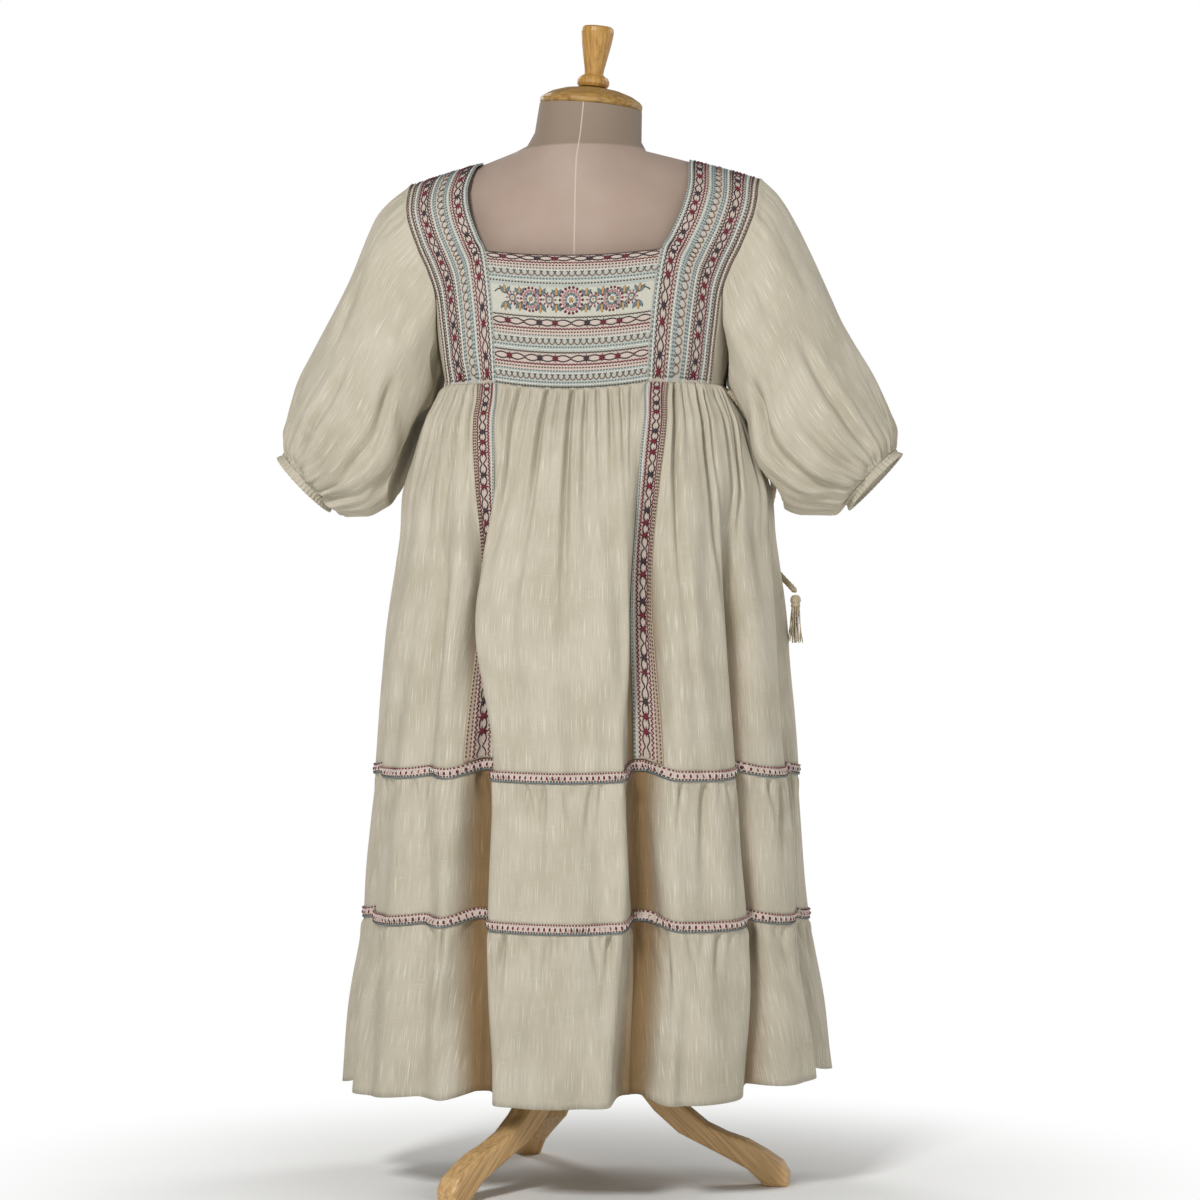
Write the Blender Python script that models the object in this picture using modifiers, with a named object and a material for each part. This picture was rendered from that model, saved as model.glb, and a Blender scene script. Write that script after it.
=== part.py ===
"""A tiered, calf length maxi dress with balloon sleeves, standing on a limbless dress form.

Metres, +Z up, origin on the floor under the middle of the form. The back of the dress, which has
the square neckline and faces the viewer, looks along -Y. +X is the wearer's right.
Every piece of cloth is a thin wall between two grids of points: its outside, and the same points
moved in along the ring's own normal.
"""

import math

import bmesh
import bpy
from mathutils import Vector

# Cloth and seams
CLOTH = 0.0015
TRIM_CLOTH = 0.0010
SEAM = 0.0003
LAID_GAP = 0.0008
SHARP_EDGE = math.radians(50)
TRIM_HALF = 0.006

# Heights of the seams
YOKE_SEAM = 0.943
YOKE_DIP = 0.008
UPPER_SEAM = 0.487
LOWER_SEAM = 0.316
HEM = 0.114
SEAM_RISE = 0.30
# The hem hangs shorter on the wearer's right: angle from the middle of the back, reach, rise
HEM_SHORT = (math.radians(88.0), math.radians(32.0), 0.020)

# Outline of the dress without its folds, from the yoke seam to the hem
# height, half width, back depth, front depth, squareness
OUTLINE = (
    (0.943, 0.166, 0.125, 0.131, 2.8),
    (0.925, 0.177, 0.134, 0.140, 2.6),
    (0.900, 0.192, 0.149, 0.154, 2.4),
    (0.860, 0.207, 0.165, 0.169, 2.2),
    (0.810, 0.223, 0.179, 0.181, 2.1),
    (0.770, 0.226, 0.186, 0.187, 2.1),
    (0.737, 0.231, 0.191, 0.192, 2.1),
    (0.642, 0.247, 0.203, 0.203, 2.1),
    (0.490, 0.258, 0.213, 0.213, 2.1),
    (0.315, 0.270, 0.223, 0.223, 2.1),
    (0.200, 0.288, 0.234, 0.234, 2.1),
    (0.110, 0.298, 0.242, 0.242, 2.1),
)

# Folds that hang from the yoke to the hem, as valleys between rounded lobes. The angle is taken
# from the middle of the back towards +X, at each of these heights.
FOLD_HEIGHTS = (0.83, 0.69, 0.50, 0.31, 0.114)
# angles at those heights, depth, half width in degrees, pinch of the lips, lean of the valley
FOLDS = (
    ((66.0, 63.0, 62.0, 63.0, 58.0), 0.040, 6.5, 0.009, -0.004),
    ((90.0, 88.0, 86.0, 85.0, 84.0), 0.026, 5.5, 0.007, 0.003),
    ((113.0, 112.0, 111.0, 110.0, 111.0), 0.030, 6.0, 0.008, 0.005),
    ((132.0, 131.0, 132.0, 134.0, 133.0), 0.024, 5.5, 0.006, -0.003),
    ((153.0, 154.0, 155.0, 153.0, 158.0), 0.044, 6.5, 0.009, 0.005),
    ((181.0, 180.0, 182.0, 184.0, 182.0), 0.022, 6.0, 0.006, 0.003),
    ((207.0, 206.0, 205.0, 206.0, 203.0), 0.044, 6.5, 0.009, -0.005),
    ((231.0, 232.0, 230.0, 229.0, 232.0), 0.028, 6.0, 0.007, 0.004),
    ((254.0, 253.0, 252.0, 251.0, 254.0), 0.034, 6.0, 0.008, 0.004),
    ((281.0, 282.0, 284.0, 285.0, 284.0), 0.030, 6.0, 0.008, -0.004),
    ((311.0, 312.0, 313.0, 313.0, 317.0), 0.018, 6.5, 0.005, 0.002),
)
# The two valleys of the back that hold strips have a flat floor and steep walls: side, angles at
# those heights, depth, half width in degrees, how far the valley is drawn out sideways, how far
# the middle lobe hangs over its floor at those heights
STRIP_FOLDS = (
    (-1, (32.0, 30.5, 28.0, 28.0, 24.5), 0.044, 6.0, 0.007, (0.0, 0.026, 0.003, 0.0, 0.0)),
    (1, (32.0, 30.0, 28.0, 27.0, 22.5), 0.044, 6.0, 0.0, (0.0, 0.002, 0.0, 0.0, 0.0)),
)
# Where the lobe's lip starts, is full and fades, in half widths from the middle of the valley
LIP_START = 0.5
LIP_FULL = 1.1
LIP_FADE = 2.5
LOBE_SHARE = 0.20
LOBE_SPREAD = 2.6
FOLD_START = 0.925
FOLD_FULL = 0.640
FAR_FROM_FOLD = 9
DRIFT_POWER = 5.5
# The height at which cloth is shared out between columns, and the steps that measure it
SHARED_AT = 0.40
SHARE_STEPS = 240

# The ring of columns that the cloth is cut to. Strips cover the seams between back, sides and front.
STRIP_TOP = (0.087, 0.112)
STRIP_LOW = (0.0975, 0.1270)
BACK_COLUMNS = 16
SIDE_COLUMNS = 30
STRIP_COLUMNS = 2

# Gathers: columns to a wave, height of a wave, how far below its seam it fades, least and most
# The least of a gather's height, and how much more it may be
GATHER_LEAST = 0.45
GATHER_MORE = 0.85
YOKE_GATHER = (2, 0.0032, 0.05, 0.20)
TIER_GATHER = (2, 0.0036, 0.03, 0.10)
GATHER_RISE = 0.014
SHARPEST_MITRE = 0.6

# Rows of each tier, as drops below its seam, and where a lower tier's middle row lies
UPPER_DROPS = (0.0, 0.016, 0.060, 0.130, 0.210, 0.310)
TIER_DROPS = (0.022,)
MIDDLE_TIER_ROW = 0.52
LOWER_TIER_ROW = 0.50
# A strip ends just above the first tier seam, at this share of its last row
STRIP_END = 0.995

# The wide band over each shoulder, from the shoulder seam to the yoke seam
# outer edge: sideways, depth, height; inner edge: sideways, depth, height
STRAP = (
    (0.2080, 0.000, 1.188, 0.1240, 0.000, 1.212),
    (0.2085, 0.030, 1.176, 0.1275, 0.036, 1.202),
    (0.2060, 0.052, 1.145, 0.1306, 0.070, 1.175),
    (0.1920, 0.060, 1.106, 0.1255, 0.088, 1.146),
    (0.1785, 0.064, 1.077, 0.1130, 0.098, 1.115),
    (0.1690, 0.065, 1.047, 0.1045, 0.104, 1.098),
    (0.1645, 0.065, 1.012, 0.0972, 0.111, 1.052),
    (0.1605, 0.064, 0.978, 0.0925, 0.115, 0.998),
)
STRAP_BOTTOM = (0.157, 0.0896)
STRAP_CROWN = 0.005
STRAP_SPANS = 3
FRONT_DEEPER = 1.05
BUST = 0.010
BUST_HEIGHT = 1.02
BUST_REACH = 0.055
BUST_DEPTH = 0.06
# The band's crown faces up at the shoulder and grows outward over this many stations
CROWN_STATIONS = 3.0
CROWN_SIDEWAYS = 0.35
CROWN_RISE = 0.2
NECK_STATION = {-1: 5, 1: 6}
NECK_DIP = 0.007
PANEL_CROWN = 0.008
PANEL_SPANS = 8

# Plain panel under each arm
ARMHOLE_LOW = 0.985
UNDERARM_OUT = 0.1735
UNDERARM_STEPS = (0.75, 0.50, 0.25)
LOOP_STEPS = 10
SIDE_SPANS = 6
SIDE_ROWS = 3
# Outward on the bodice is away from a point this far below, and no higher than the chest
CHEST = 1.15
BELOW = 0.02

# Sleeve outline seen from the back: upper line and under line, from the armhole to the cuff
SLEEVE_TOP = (
    (0.2080, 1.188), (0.2280, 1.168), (0.2480, 1.134), (0.2690, 1.092), (0.2920, 1.045),
    (0.3190, 0.994), (0.3420, 0.951), (0.3590, 0.913), (0.3680, 0.888), (0.3665, 0.868),
)
SLEEVE_UNDER = (
    (0.1735, 0.985), (0.1660, 0.958), (0.1700, 0.925), (0.1800, 0.890), (0.1950, 0.852),
    (0.2140, 0.821), (0.2390, 0.800), (0.2650, 0.789), (0.2900, 0.789), (0.3060, 0.8045),
)
# share of the way, depth to the back, depth to the front, middle moved to the front
SLEEVE_DEPTH = (
    (0.00, 0.066, 0.070, 0.000),
    (0.15, 0.072, 0.076, 0.004),
    (0.45, 0.080, 0.080, 0.012),
    (0.75, 0.074, 0.072, 0.020),
    (0.90, 0.056, 0.055, 0.024),
    (1.00, 0.042, 0.042, 0.026),
)
# The left sleeve hangs further out than the right one
LEFT_SLEEVE_OUT = 0.011
# Shares of the way by which it has moved out, starts to move back, and by which the sleeve has
# left the armhole's own outline and the side of the dress
MOVED_OUT = 0.16
MOVED_BACK = 0.70
LEFT_ARMHOLE = 0.45
LEFT_SIDE = 0.12
SLEEVE_COLUMNS = 26
SLEEVE_SHARES = (0.0, 0.05, 0.14, 0.27, 0.41, 0.55, 0.69, 0.82, 0.92, 1.0)
# Gathers at the cap: height, share by which they are full, share over which they fade, and how
# much less they are towards the underarm. At the cuff: height, share where they start, share over
# which they grow and over which they end
CAP_WAVE = 0.004
CAP_FULL = 0.05
CAP_FADE = 0.16
CAP_LESS = 0.62
CUFF_WAVE = 0.0028
CUFF_START = 0.74
CUFF_GROW = 0.20
CUFF_END = 0.05
LEAST_WAVE = 0.6
SLEEVE_CLEAR = 0.0150
SLEEVE_FREE = 0.035
ARMHOLE_STEP = Vector((0.0013, 0.0, 0.0008))
CUFF_CASING = 0.004
CUFF_FRILL = 0.008
CUFF_FLARE = 0.003
CUFF_DRAWN = 0.001

# Tie cord that hangs from the side seam, and its tassel
TIE_RADIUS = 0.0036
# angle from the middle of the back in degrees, height, how far off the cloth its middle lies
TIE_ROUTE = (
    (79.0, 0.936, 0.0052), (81.0, 0.915, 0.0084), (87.0, 0.885, 0.0085),
    (95.0, 0.855, 0.0085), (102.0, 0.825, 0.0080), (107.0, 0.795, 0.0080),
    (109.0, 0.760, 0.0090), (106.0, 0.728, 0.0115), (97.0, 0.700, 0.0185),
)
TIE_POINTS = 22
TASSEL_HEAD = (0.00585, 0.012)
TASSEL_NECK = 0.8
TASSEL_STEPS = (0.45, 0.55)
TASSEL_LENGTH = 0.046
TASSEL_GRID = 4
TASSEL_SPREAD = 1.5

# Dress form
# height, half width, back depth, front depth, squareness
TORSO = (
    (1.2757, 0.0613, 0.0613, 0.0613, 2.0),
    (1.2400, 0.0640, 0.0640, 0.0640, 2.0),
    (1.2260, 0.0720, 0.0700, 0.0690, 1.8),
    (1.2095, 0.1240, 0.0785, 0.0760, 1.35),
    (1.1990, 0.1610, 0.0820, 0.0790, 1.3),
    (1.1885, 0.1975, 0.0850, 0.0820, 1.3),
    (1.1690, 0.1965, 0.0890, 0.0880, 1.7),
    (1.1400, 0.1880, 0.0920, 0.0950, 2.0),
    (1.1100, 0.1750, 0.0960, 0.1040, 2.1),
    (1.0600, 0.1570, 0.0990, 0.1170, 2.2),
    (1.0100, 0.1500, 0.1000, 0.1200, 2.2),
    (0.9400, 0.1400, 0.0960, 0.1050, 2.2),
    (0.8700, 0.1200, 0.0880, 0.0920, 2.1),
    (0.7900, 0.1420, 0.1020, 0.1000, 2.1),
    (0.6900, 0.1620, 0.1180, 0.1120, 2.1),
    (0.6200, 0.1560, 0.1140, 0.1100, 2.1),
    (0.5800, 0.1450, 0.1060, 0.1040, 2.1),
)
TORSO_COLUMNS = 28
FORM_BOTTOM = TORSO[-1][0]
# The neck leans towards +X: turn in radians, height it turns about, height of the full turn
NECK_LEAN = (0.090, 1.2100, 1.2390)
# Turned pieces, as radius and height from the top down
NECK_CAP = (
    (0.0, 1.2995), (0.018, 1.2993), (0.034, 1.2965), (0.049, 1.2915), (0.058, 1.2862),
    (0.0615, 1.2820), (0.0615, 1.2785), (0.0598, 1.2760), (0.0, 1.2760),
)
FINIAL = (
    (0.0, 1.3725), (0.0165, 1.3725), (0.0190, 1.3705), (0.0195, 1.3660), (0.0178, 1.3530),
    (0.0148, 1.3370), (0.0120, 1.3230), (0.0112, 1.3165), (0.0130, 1.3140), (0.0172, 1.3120),
    (0.0193, 1.3080), (0.0193, 1.3040), (0.0172, 1.3008), (0.0, 1.2998),
)
HUB_RADIUS = 0.030
HUB_TOP = 0.292
HUB = (
    (0.0, HUB_TOP), (0.020, HUB_TOP), (HUB_RADIUS, 0.284), (HUB_RADIUS, 0.196),
    (0.022, 0.184), (0.012, 0.178), (0.0, 0.177),
)
POLE_RADIUS = 0.0125
TURNED_STEPS = 24
LEG_ANGLES = (117.0, 237.0, 357.0)
LEG_WIDTH = 0.030
LEG_ROUNDING = 0.004
# Side outline of a leg, as distance from the middle and height, round from the hub's top
LEG_OUTLINE = (
    (0.0303, 0.270), (0.0400, 0.235), (0.0560, 0.190), (0.0800, 0.143), (0.1080, 0.107),
    (0.1240, 0.0895), (0.1460, 0.072), (0.1700, 0.0610), (0.1950, 0.0530), (0.2165, 0.0415),
    (0.2360, 0.0290), (0.2445, 0.0150), (0.2430, 0.0000), (0.2160, 0.0000), (0.2105, 0.0060),
    (0.1950, 0.0200), (0.1700, 0.0330), (0.1390, 0.0480), (0.1140, 0.0600), (0.0840, 0.0860),
    (0.0580, 0.1180), (0.0420, 0.1520), (0.0303, 0.200),
)

# Colours in linear light, roughness
ECRU = ((0.55, 0.50, 0.40, 1.0), 0.9)
STITCHED = ((0.47, 0.42, 0.36, 1.0), 0.9)
TRIM_PINK = ((0.40, 0.20, 0.19, 1.0), 0.9)
CORD_TAN = ((0.45, 0.33, 0.20, 1.0), 0.85)
FORM_CLOTH = ((0.42, 0.33, 0.27, 1.0), 0.9)
TURNED_WOOD = ((0.45, 0.24, 0.09, 1.0), 0.45)
LEG_WOOD = ((0.33, 0.18, 0.08, 1.0), 0.5)


def between(stops, values, place):
    """A smooth value at a place between rising or falling stops, never past its neighbours."""
    rising = stops[-1] > stops[0]
    order = list(zip(stops, values)) if rising else list(zip(stops, values))[::-1]
    if place <= order[0][0]:
        return order[0][1]
    if place >= order[-1][0]:
        return order[-1][1]
    steps = [(b[1] - a[1]) / (b[0] - a[0]) for a, b in zip(order, order[1:])]
    slopes = [steps[0]]
    for before, after in zip(steps, steps[1:]):
        slopes.append(0.0 if before * after <= 0 else 2 * before * after / (before + after))
    slopes.append(steps[-1])
    part = next(i for i in range(len(steps)) if place <= order[i + 1][0])
    (x0, y0), (x1, y1) = order[part], order[part + 1]
    span = x1 - x0
    u = (place - x0) / span
    return (
        (1 + 2 * u) * (1 - u) ** 2 * y0
        + u * (1 - u) ** 2 * span * slopes[part]
        + u * u * (3 - 2 * u) * y1
        + u * u * (u - 1) * span * slopes[part + 1]
    )


def ease(share):
    share = min(1.0, max(0.0, share))
    return share * share * (3 - 2 * share)


def uneven(number, salt):
    """A fixed share from 0 to 1 that differs from one gather to the next."""
    return (number * 0.6180339 + salt * 0.2718281) % 1.0


def table_row(table, height):
    """The values of a table whose first column is a falling height."""
    stops = [row[0] for row in table]
    return [between(stops, [row[k] for row in table], height) for k in range(1, len(table[0]))]


def ring_radius(table, height, angle):
    """Distance from the axis to a squared oval, at an angle from -Y towards +X."""
    half_width, back, front, square = table_row(table, height)
    depth = back if math.cos(angle) > 0 else front
    across = (abs(math.sin(angle)) / half_width) ** square
    along = (abs(math.cos(angle)) / depth) ** square
    return (across + along) ** (-1.0 / square)


def ring_point(table, height, angle):
    radius = ring_radius(table, height, angle)
    return Vector((radius * math.sin(angle), -radius * math.cos(angle), height))


def ring_depth(table, height, sideways, side):
    """How far back (-1) or front (1) a ring reaches at a distance from the middle."""
    half_width, back, front, square = table_row(table, height)
    share = max(0.0, 1 - (abs(sideways) / half_width) ** square)
    return (back if side < 0 else front) * share ** (1.0 / square)


def angle_at(height, sideways, side):
    """Angle of the outline's point that lies so far sideways, on the back or the front."""
    return math.atan2(sideways, -side * ring_depth(OUTLINE, height, sideways, side))


def fold_shift(angle, height):
    """Inward depth and sideways slide that all the folds give at an angle and height."""
    grown = ease((FOLD_START - height) / (FOLD_START - FOLD_FULL))
    inward = slide = 0.0
    for angles, depth, width, pinch, lean in FOLDS:
        middle = between(FOLD_HEIGHTS, angles, height)
        turn = (math.degrees(angle) - middle + 180.0) % 360.0 - 180.0
        u = turn / width
        if abs(u) > FAR_FROM_FOLD:
            continue
        valley = math.exp(-u * u)
        lobe = math.exp(-((u / LOBE_SPREAD) ** 2))
        inward += depth * grown * ((1 - LOBE_SHARE) * valley + LOBE_SHARE * lobe)
        slide += grown * (lean * valley - pinch * u * math.exp(0.5 - 0.5 * u * u))
    for side, angles, depth, width, drawn, overhangs in STRIP_FOLDS:
        middle = side * between(FOLD_HEIGHTS, angles, height)
        u = ((math.degrees(angle) - middle + 180.0) % 360.0 - 180.0) / width
        lobe = math.exp(-((u / LOBE_SPREAD) ** 2))
        inward += depth * grown * ((1 - LOBE_SHARE) * math.exp(-u ** 4) + LOBE_SHARE * lobe)
        past = -side * u
        lip = ease((past - LIP_START) / (LIP_FULL - LIP_START))
        lip *= math.exp(-((max(0.0, past - LIP_FULL) / LIP_FADE) ** 2))
        slide += side * grown * (drawn * lobe + between(FOLD_HEIGHTS, overhangs, height) * lip)
    return inward, slide


def folded_point(angle, height):
    """A point of the skirt with its folds and without its gathers."""
    inward, slide = fold_shift(angle, height)
    radius = ring_radius(OUTLINE, height, angle) - inward
    turned = angle + slide / radius
    return Vector((radius * math.sin(turned), -radius * math.cos(turned), height))


def sector_shares(start, end, columns):
    """Angles that part a sector of the folded ring into equal lengths of cloth."""
    angles = [start + (end - start) * i / SHARE_STEPS for i in range(SHARE_STEPS + 1)]
    points = [folded_point(a, SHARED_AT) for a in angles]
    lengths = [0.0]
    for a, b in zip(points, points[1:]):
        lengths.append(lengths[-1] + (b - a).length)
    shares = []
    place = 0
    for column in range(columns):
        wanted = lengths[-1] * column / columns
        while lengths[place + 1] < wanted:
            place += 1
        part = (wanted - lengths[place]) / (lengths[place + 1] - lengths[place])
        shares.append(angles[place] + (angles[place + 1] - angles[place]) * part)
    return shares


def column_angles():
    """Each column's angle at the yoke and in the tiers, once round from the back's left strip."""
    top, low = [], []
    turn = 2 * math.pi
    strip_top = {s: [angle_at(YOKE_SEAM, x, s) for x in STRIP_TOP] for s in (-1, 1)}
    strip_low = {s: [angle_at(UPPER_SEAM, x, s) for x in STRIP_LOW] for s in (-1, 1)}
    stops = [(-strip_top[-1][0], -strip_low[-1][0], BACK_COLUMNS)]
    stops.append((strip_top[-1][0], strip_low[-1][0], STRIP_COLUMNS))
    stops.append((strip_top[-1][1], strip_low[-1][1], SIDE_COLUMNS))
    stops.append((strip_top[1][1], strip_low[1][1], STRIP_COLUMNS))
    stops.append((strip_top[1][0], strip_low[1][0], BACK_COLUMNS))
    stops.append((turn - strip_top[1][0], turn - strip_low[1][0], STRIP_COLUMNS))
    stops.append((turn - strip_top[1][1], turn - strip_low[1][1], SIDE_COLUMNS))
    stops.append((turn - strip_top[-1][1], turn - strip_low[-1][1], STRIP_COLUMNS))
    stops.append((turn - strip_top[-1][0], turn - strip_low[-1][0], 0))
    for (top_a, low_a, columns), (top_b, low_b, _) in zip(stops, stops[1:]):
        top += [top_a + (top_b - top_a) * i / columns for i in range(columns)]
        low += sector_shares(low_a, low_b, columns)
    return top, low


def gather(column, drop, wave):
    """How far out of the cloth a gather stands, at a drop below the seam it springs from."""
    spacing, height, shortest, longest = wave
    number = round(column / spacing)
    reach = shortest + (longest - shortest) * uneven(number, 1) ** 2
    stands = height * (GATHER_LEAST + GATHER_MORE * uneven(number, 2))
    rise = ease((drop - TRIM_HALF) / GATHER_RISE)
    return stands * rise * math.exp(-((drop / reach) ** 2)) * math.cos(2 * math.pi * column / spacing)


def seam_height(level, angle, height):
    """A tier seam climbs where a fold draws the cloth in."""
    return level + SEAM_RISE * fold_shift(angle, height)[0]


def hem_rise(angle):
    middle, reach, rise = HEM_SHORT
    turn = (angle - middle + math.pi) % (2 * math.pi) - math.pi
    return rise * math.exp(-((turn / reach) ** 2))


def yoke_seam_height(sideways):
    """The yoke seam dips in the middle of the back and the front."""
    return YOKE_SEAM - YOKE_DIP * max(0.0, 1 - (sideways / STRAP_BOTTOM[1]) ** 2)


def yoke_ring_height(angle):
    return yoke_seam_height(ring_point(OUTLINE, YOKE_SEAM, angle).x)


def plan_ways(ring):
    """Level vectors that move a ring of points out by one unit of each side's own thickness."""
    ways = []
    for c, point in enumerate(ring):
        sides = []
        for a, b in ((ring[c - 1], point), (point, ring[(c + 1) % len(ring)])):
            sides.append(Vector((b.y - a.y, a.x - b.x, 0.0)).normalized())
        middle = (sides[0] + sides[1]).normalized()
        ways.append(middle / max(SHARPEST_MITRE, middle.dot(sides[0])))
    return ways


def skirt_grids():
    """Rows of points for each tier, from the yoke seam to the hem, with their plan normals."""
    top, low = column_angles()
    columns = range(len(top))

    def angle(column, height):
        fallen = max(0.0, (height - UPPER_SEAM) / (YOKE_SEAM - UPPER_SEAM))
        return low[column] + (top[column] - low[column]) * fallen ** DRIFT_POWER

    def row(levels, drops, wave):
        bare = [folded_point(angle(c, z), z) for c, z in zip(columns, levels)]
        lifts = [gather(c, d, wave) for c, d in zip(columns, drops)]
        points = [p + n.normalized() * lift for p, n, lift in zip(bare, plan_ways(bare), lifts)]
        return list(zip(points, plan_ways(points)))

    heads = [yoke_ring_height(top[c]) for c in columns]
    waists = [seam_height(UPPER_SEAM, low[c], UPPER_SEAM) for c in columns]
    knees = [seam_height(LOWER_SEAM, low[c], LOWER_SEAM) for c in columns]
    hems = [seam_height(HEM, low[c], HEM) + hem_rise(low[c]) for c in columns]

    upper = []
    for drop in UPPER_DROPS:
        levels = [head - drop for head in heads]
        upper.append(row(levels, [drop] * len(heads), YOKE_GATHER))
    for lift in (TRIM_HALF, 0.0):
        levels = [waist + lift for waist in waists]
        upper.append(row(levels, [head - z for head, z in zip(heads, levels)], YOKE_GATHER))

    def tier(starts, ends, last_lifts, middle_share):
        rows = []
        for drop in (0.0, TRIM_HALF) + TIER_DROPS:
            rows.append(row([z - drop for z in starts], [drop] * len(starts), TIER_GATHER))
        levels = [a + (b - a) * middle_share for a, b in zip(starts, ends)]
        rows.append(row(levels, [a - z for a, z in zip(starts, levels)], TIER_GATHER))
        for lift in last_lifts:
            levels = [z + lift for z in ends]
            rows.append(row(levels, [a - z for a, z in zip(starts, levels)], TIER_GATHER))
        return rows

    middle = tier(waists, knees, (TRIM_HALF, 0.0), MIDDLE_TIER_ROW)
    lower = tier(knees, hems, (0.0,), LOWER_TIER_ROW)
    return upper, middle, lower


def material(name, finish):
    colour, roughness = finish
    made = bpy.data.materials.get(name)
    if made is None:
        made = bpy.data.materials.new(name)
        made.use_nodes = True
        shader = made.node_tree.nodes["Principled BSDF"]
        shader.inputs["Base Color"].default_value = colour
        shader.inputs["Roughness"].default_value = roughness
        shader.inputs["Metallic"].default_value = 0.0
    return made


def add_object(name, data, finish):
    made = bpy.data.objects.new(name, data)
    data.materials.append(material(name + "_finish", finish))
    collection.objects.link(made)
    return made


def closed_mesh(name, points, faces, finish):
    built = bmesh.new()
    corners = [built.verts.new(p) for p in points]
    for face in faces:
        built.faces.new([corners[i] for i in face])
    bmesh.ops.recalc_face_normals(built, faces=built.faces)
    mesh = bpy.data.meshes.new(name)
    built.to_mesh(mesh)
    built.free()
    mesh.shade_smooth()
    mesh.set_sharp_from_angle(angle=SHARP_EDGE)
    return add_object(name, mesh, finish)


def wall(name, outside, inside, finish, closed=False):
    """One closed sheet of cloth between two grids of points, given row by row."""
    rows, columns = len(outside), len(outside[0])
    points = [p for grid in (outside, inside) for row in grid for p in row]

    def at(side, row, column):
        return (side * rows + row) * columns + column % columns

    spans = columns if closed else columns - 1
    faces = []
    for row in range(rows - 1):
        for column in range(spans):
            for side in (0, 1):
                a, b = at(side, row, column), at(side, row, column + 1)
                c, d = at(side, row + 1, column + 1), at(side, row + 1, column)
                faces += [(a, b, c), (a, c, d)] if side == 0 else [(a, c, b), (a, d, c)]
    for column in range(spans):
        for row in (0, rows - 1):
            a, b = at(0, row, column), at(0, row, column + 1)
            c, d = at(1, row, column + 1), at(1, row, column)
            faces.append((a, d, c, b) if row == 0 else (a, b, c, d))
    if not closed:
        for row in range(rows - 1):
            for column in (0, columns - 1):
                a, b = at(0, row, column), at(0, row + 1, column)
                c, d = at(1, row + 1, column), at(1, row, column)
                faces.append((a, b, c, d) if column == 0 else (a, d, c, b))
    return closed_mesh(name, points, faces, finish)


def edge_gap(rows):
    """Draw a panel's side edges in by half a seam, along each row."""
    for row in rows:
        for edge, beside in ((0, 1), (-1, -2)):
            along = (row[beside][0] - row[edge][0]).normalized() * SEAM / 2
            row[edge] = (row[edge][0] + along, row[edge][1])
    return rows


def skirt_panel(name, rows, start, end, finish, top_gap=SEAM / 2, low_gap=SEAM / 2):
    """A panel of a tier, from one column to another, drawn in by half a seam all round."""
    count = len(rows[0])
    part = edge_gap([[row[c % count] for c in range(start, end + 1)] for row in rows])
    part[0] = [(p - Vector((0, 0, top_gap)), n) for p, n in part[0]]
    part[-1] = [(p + Vector((0, 0, low_gap)), n) for p, n in part[-1]]
    outside = [[p for p, n in row] for row in part]
    inside = [[p - n * CLOTH for p, n in row] for row in part]
    return wall(name, outside, inside, finish)


def laid_on(name, rows, start, end, finish):
    """A strip or trim on the cloth, made from the cloth's own points moved out."""
    count = len(rows[0])
    part = edge_gap([[row[c % count] for c in range(start, end + 1)] for row in rows])
    outside = [[p + n * (LAID_GAP + TRIM_CLOTH) for p, n in row] for row in part]
    inside = [[p + n * LAID_GAP for p, n in row] for row in part]
    return wall(name, outside, inside, finish)


def build_skirt():
    upper, middle, lower = skirt_grids()
    half_strip = STRIP_COLUMNS // 2
    back_end = BACK_COLUMNS
    front_start = back_end + SIDE_COLUMNS + 2 * STRIP_COLUMNS
    front_end = front_start + BACK_COLUMNS
    whole = len(upper[0])
    seams = (
        ("skirt_back", -half_strip, back_end + half_strip),
        ("skirt_right", back_end + half_strip, front_start - half_strip),
        ("skirt_front", front_start - half_strip, front_end + half_strip),
        ("skirt_left", front_end + half_strip, whole - half_strip),
    )
    for name, start, end in seams:
        skirt_panel(name, upper, start, end, ECRU, top_gap=SEAM)
    strip_rows = [list(row) for row in upper[:-1]]
    strip_rows[0] = [(p - Vector((0, 0, SEAM)), n) for p, n in strip_rows[0]]
    above, last = strip_rows[-2], strip_rows[-1]
    strip_rows[-1] = [(a[0].lerp(b[0], STRIP_END), b[1]) for a, b in zip(above, last)]
    strips = (
        ("strip_back_right", back_end), ("strip_front_right", front_start - STRIP_COLUMNS),
        ("strip_front_left", front_end), ("strip_back_left", -STRIP_COLUMNS),
    )
    for name, start in strips:
        laid_on(name, strip_rows, start, start + STRIP_COLUMNS, STITCHED)

    side = (whole - 2 * BACK_COLUMNS) // 4 + BACK_COLUMNS
    halves = (("back", side - whole // 2, side), ("front", side, side + whole // 2))
    for half, start, end in halves:
        skirt_panel("middle_tier_" + half, middle, start, end, ECRU)
        skirt_panel("lower_tier_" + half, lower, start, end, ECRU, low_gap=0.0)
        laid_on("trim_upper_" + half, [upper[-2], middle[1]], start, end, TRIM_PINK)
        laid_on("trim_lower_" + half, [middle[-2], lower[1]], start, end, TRIM_PINK)


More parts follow.
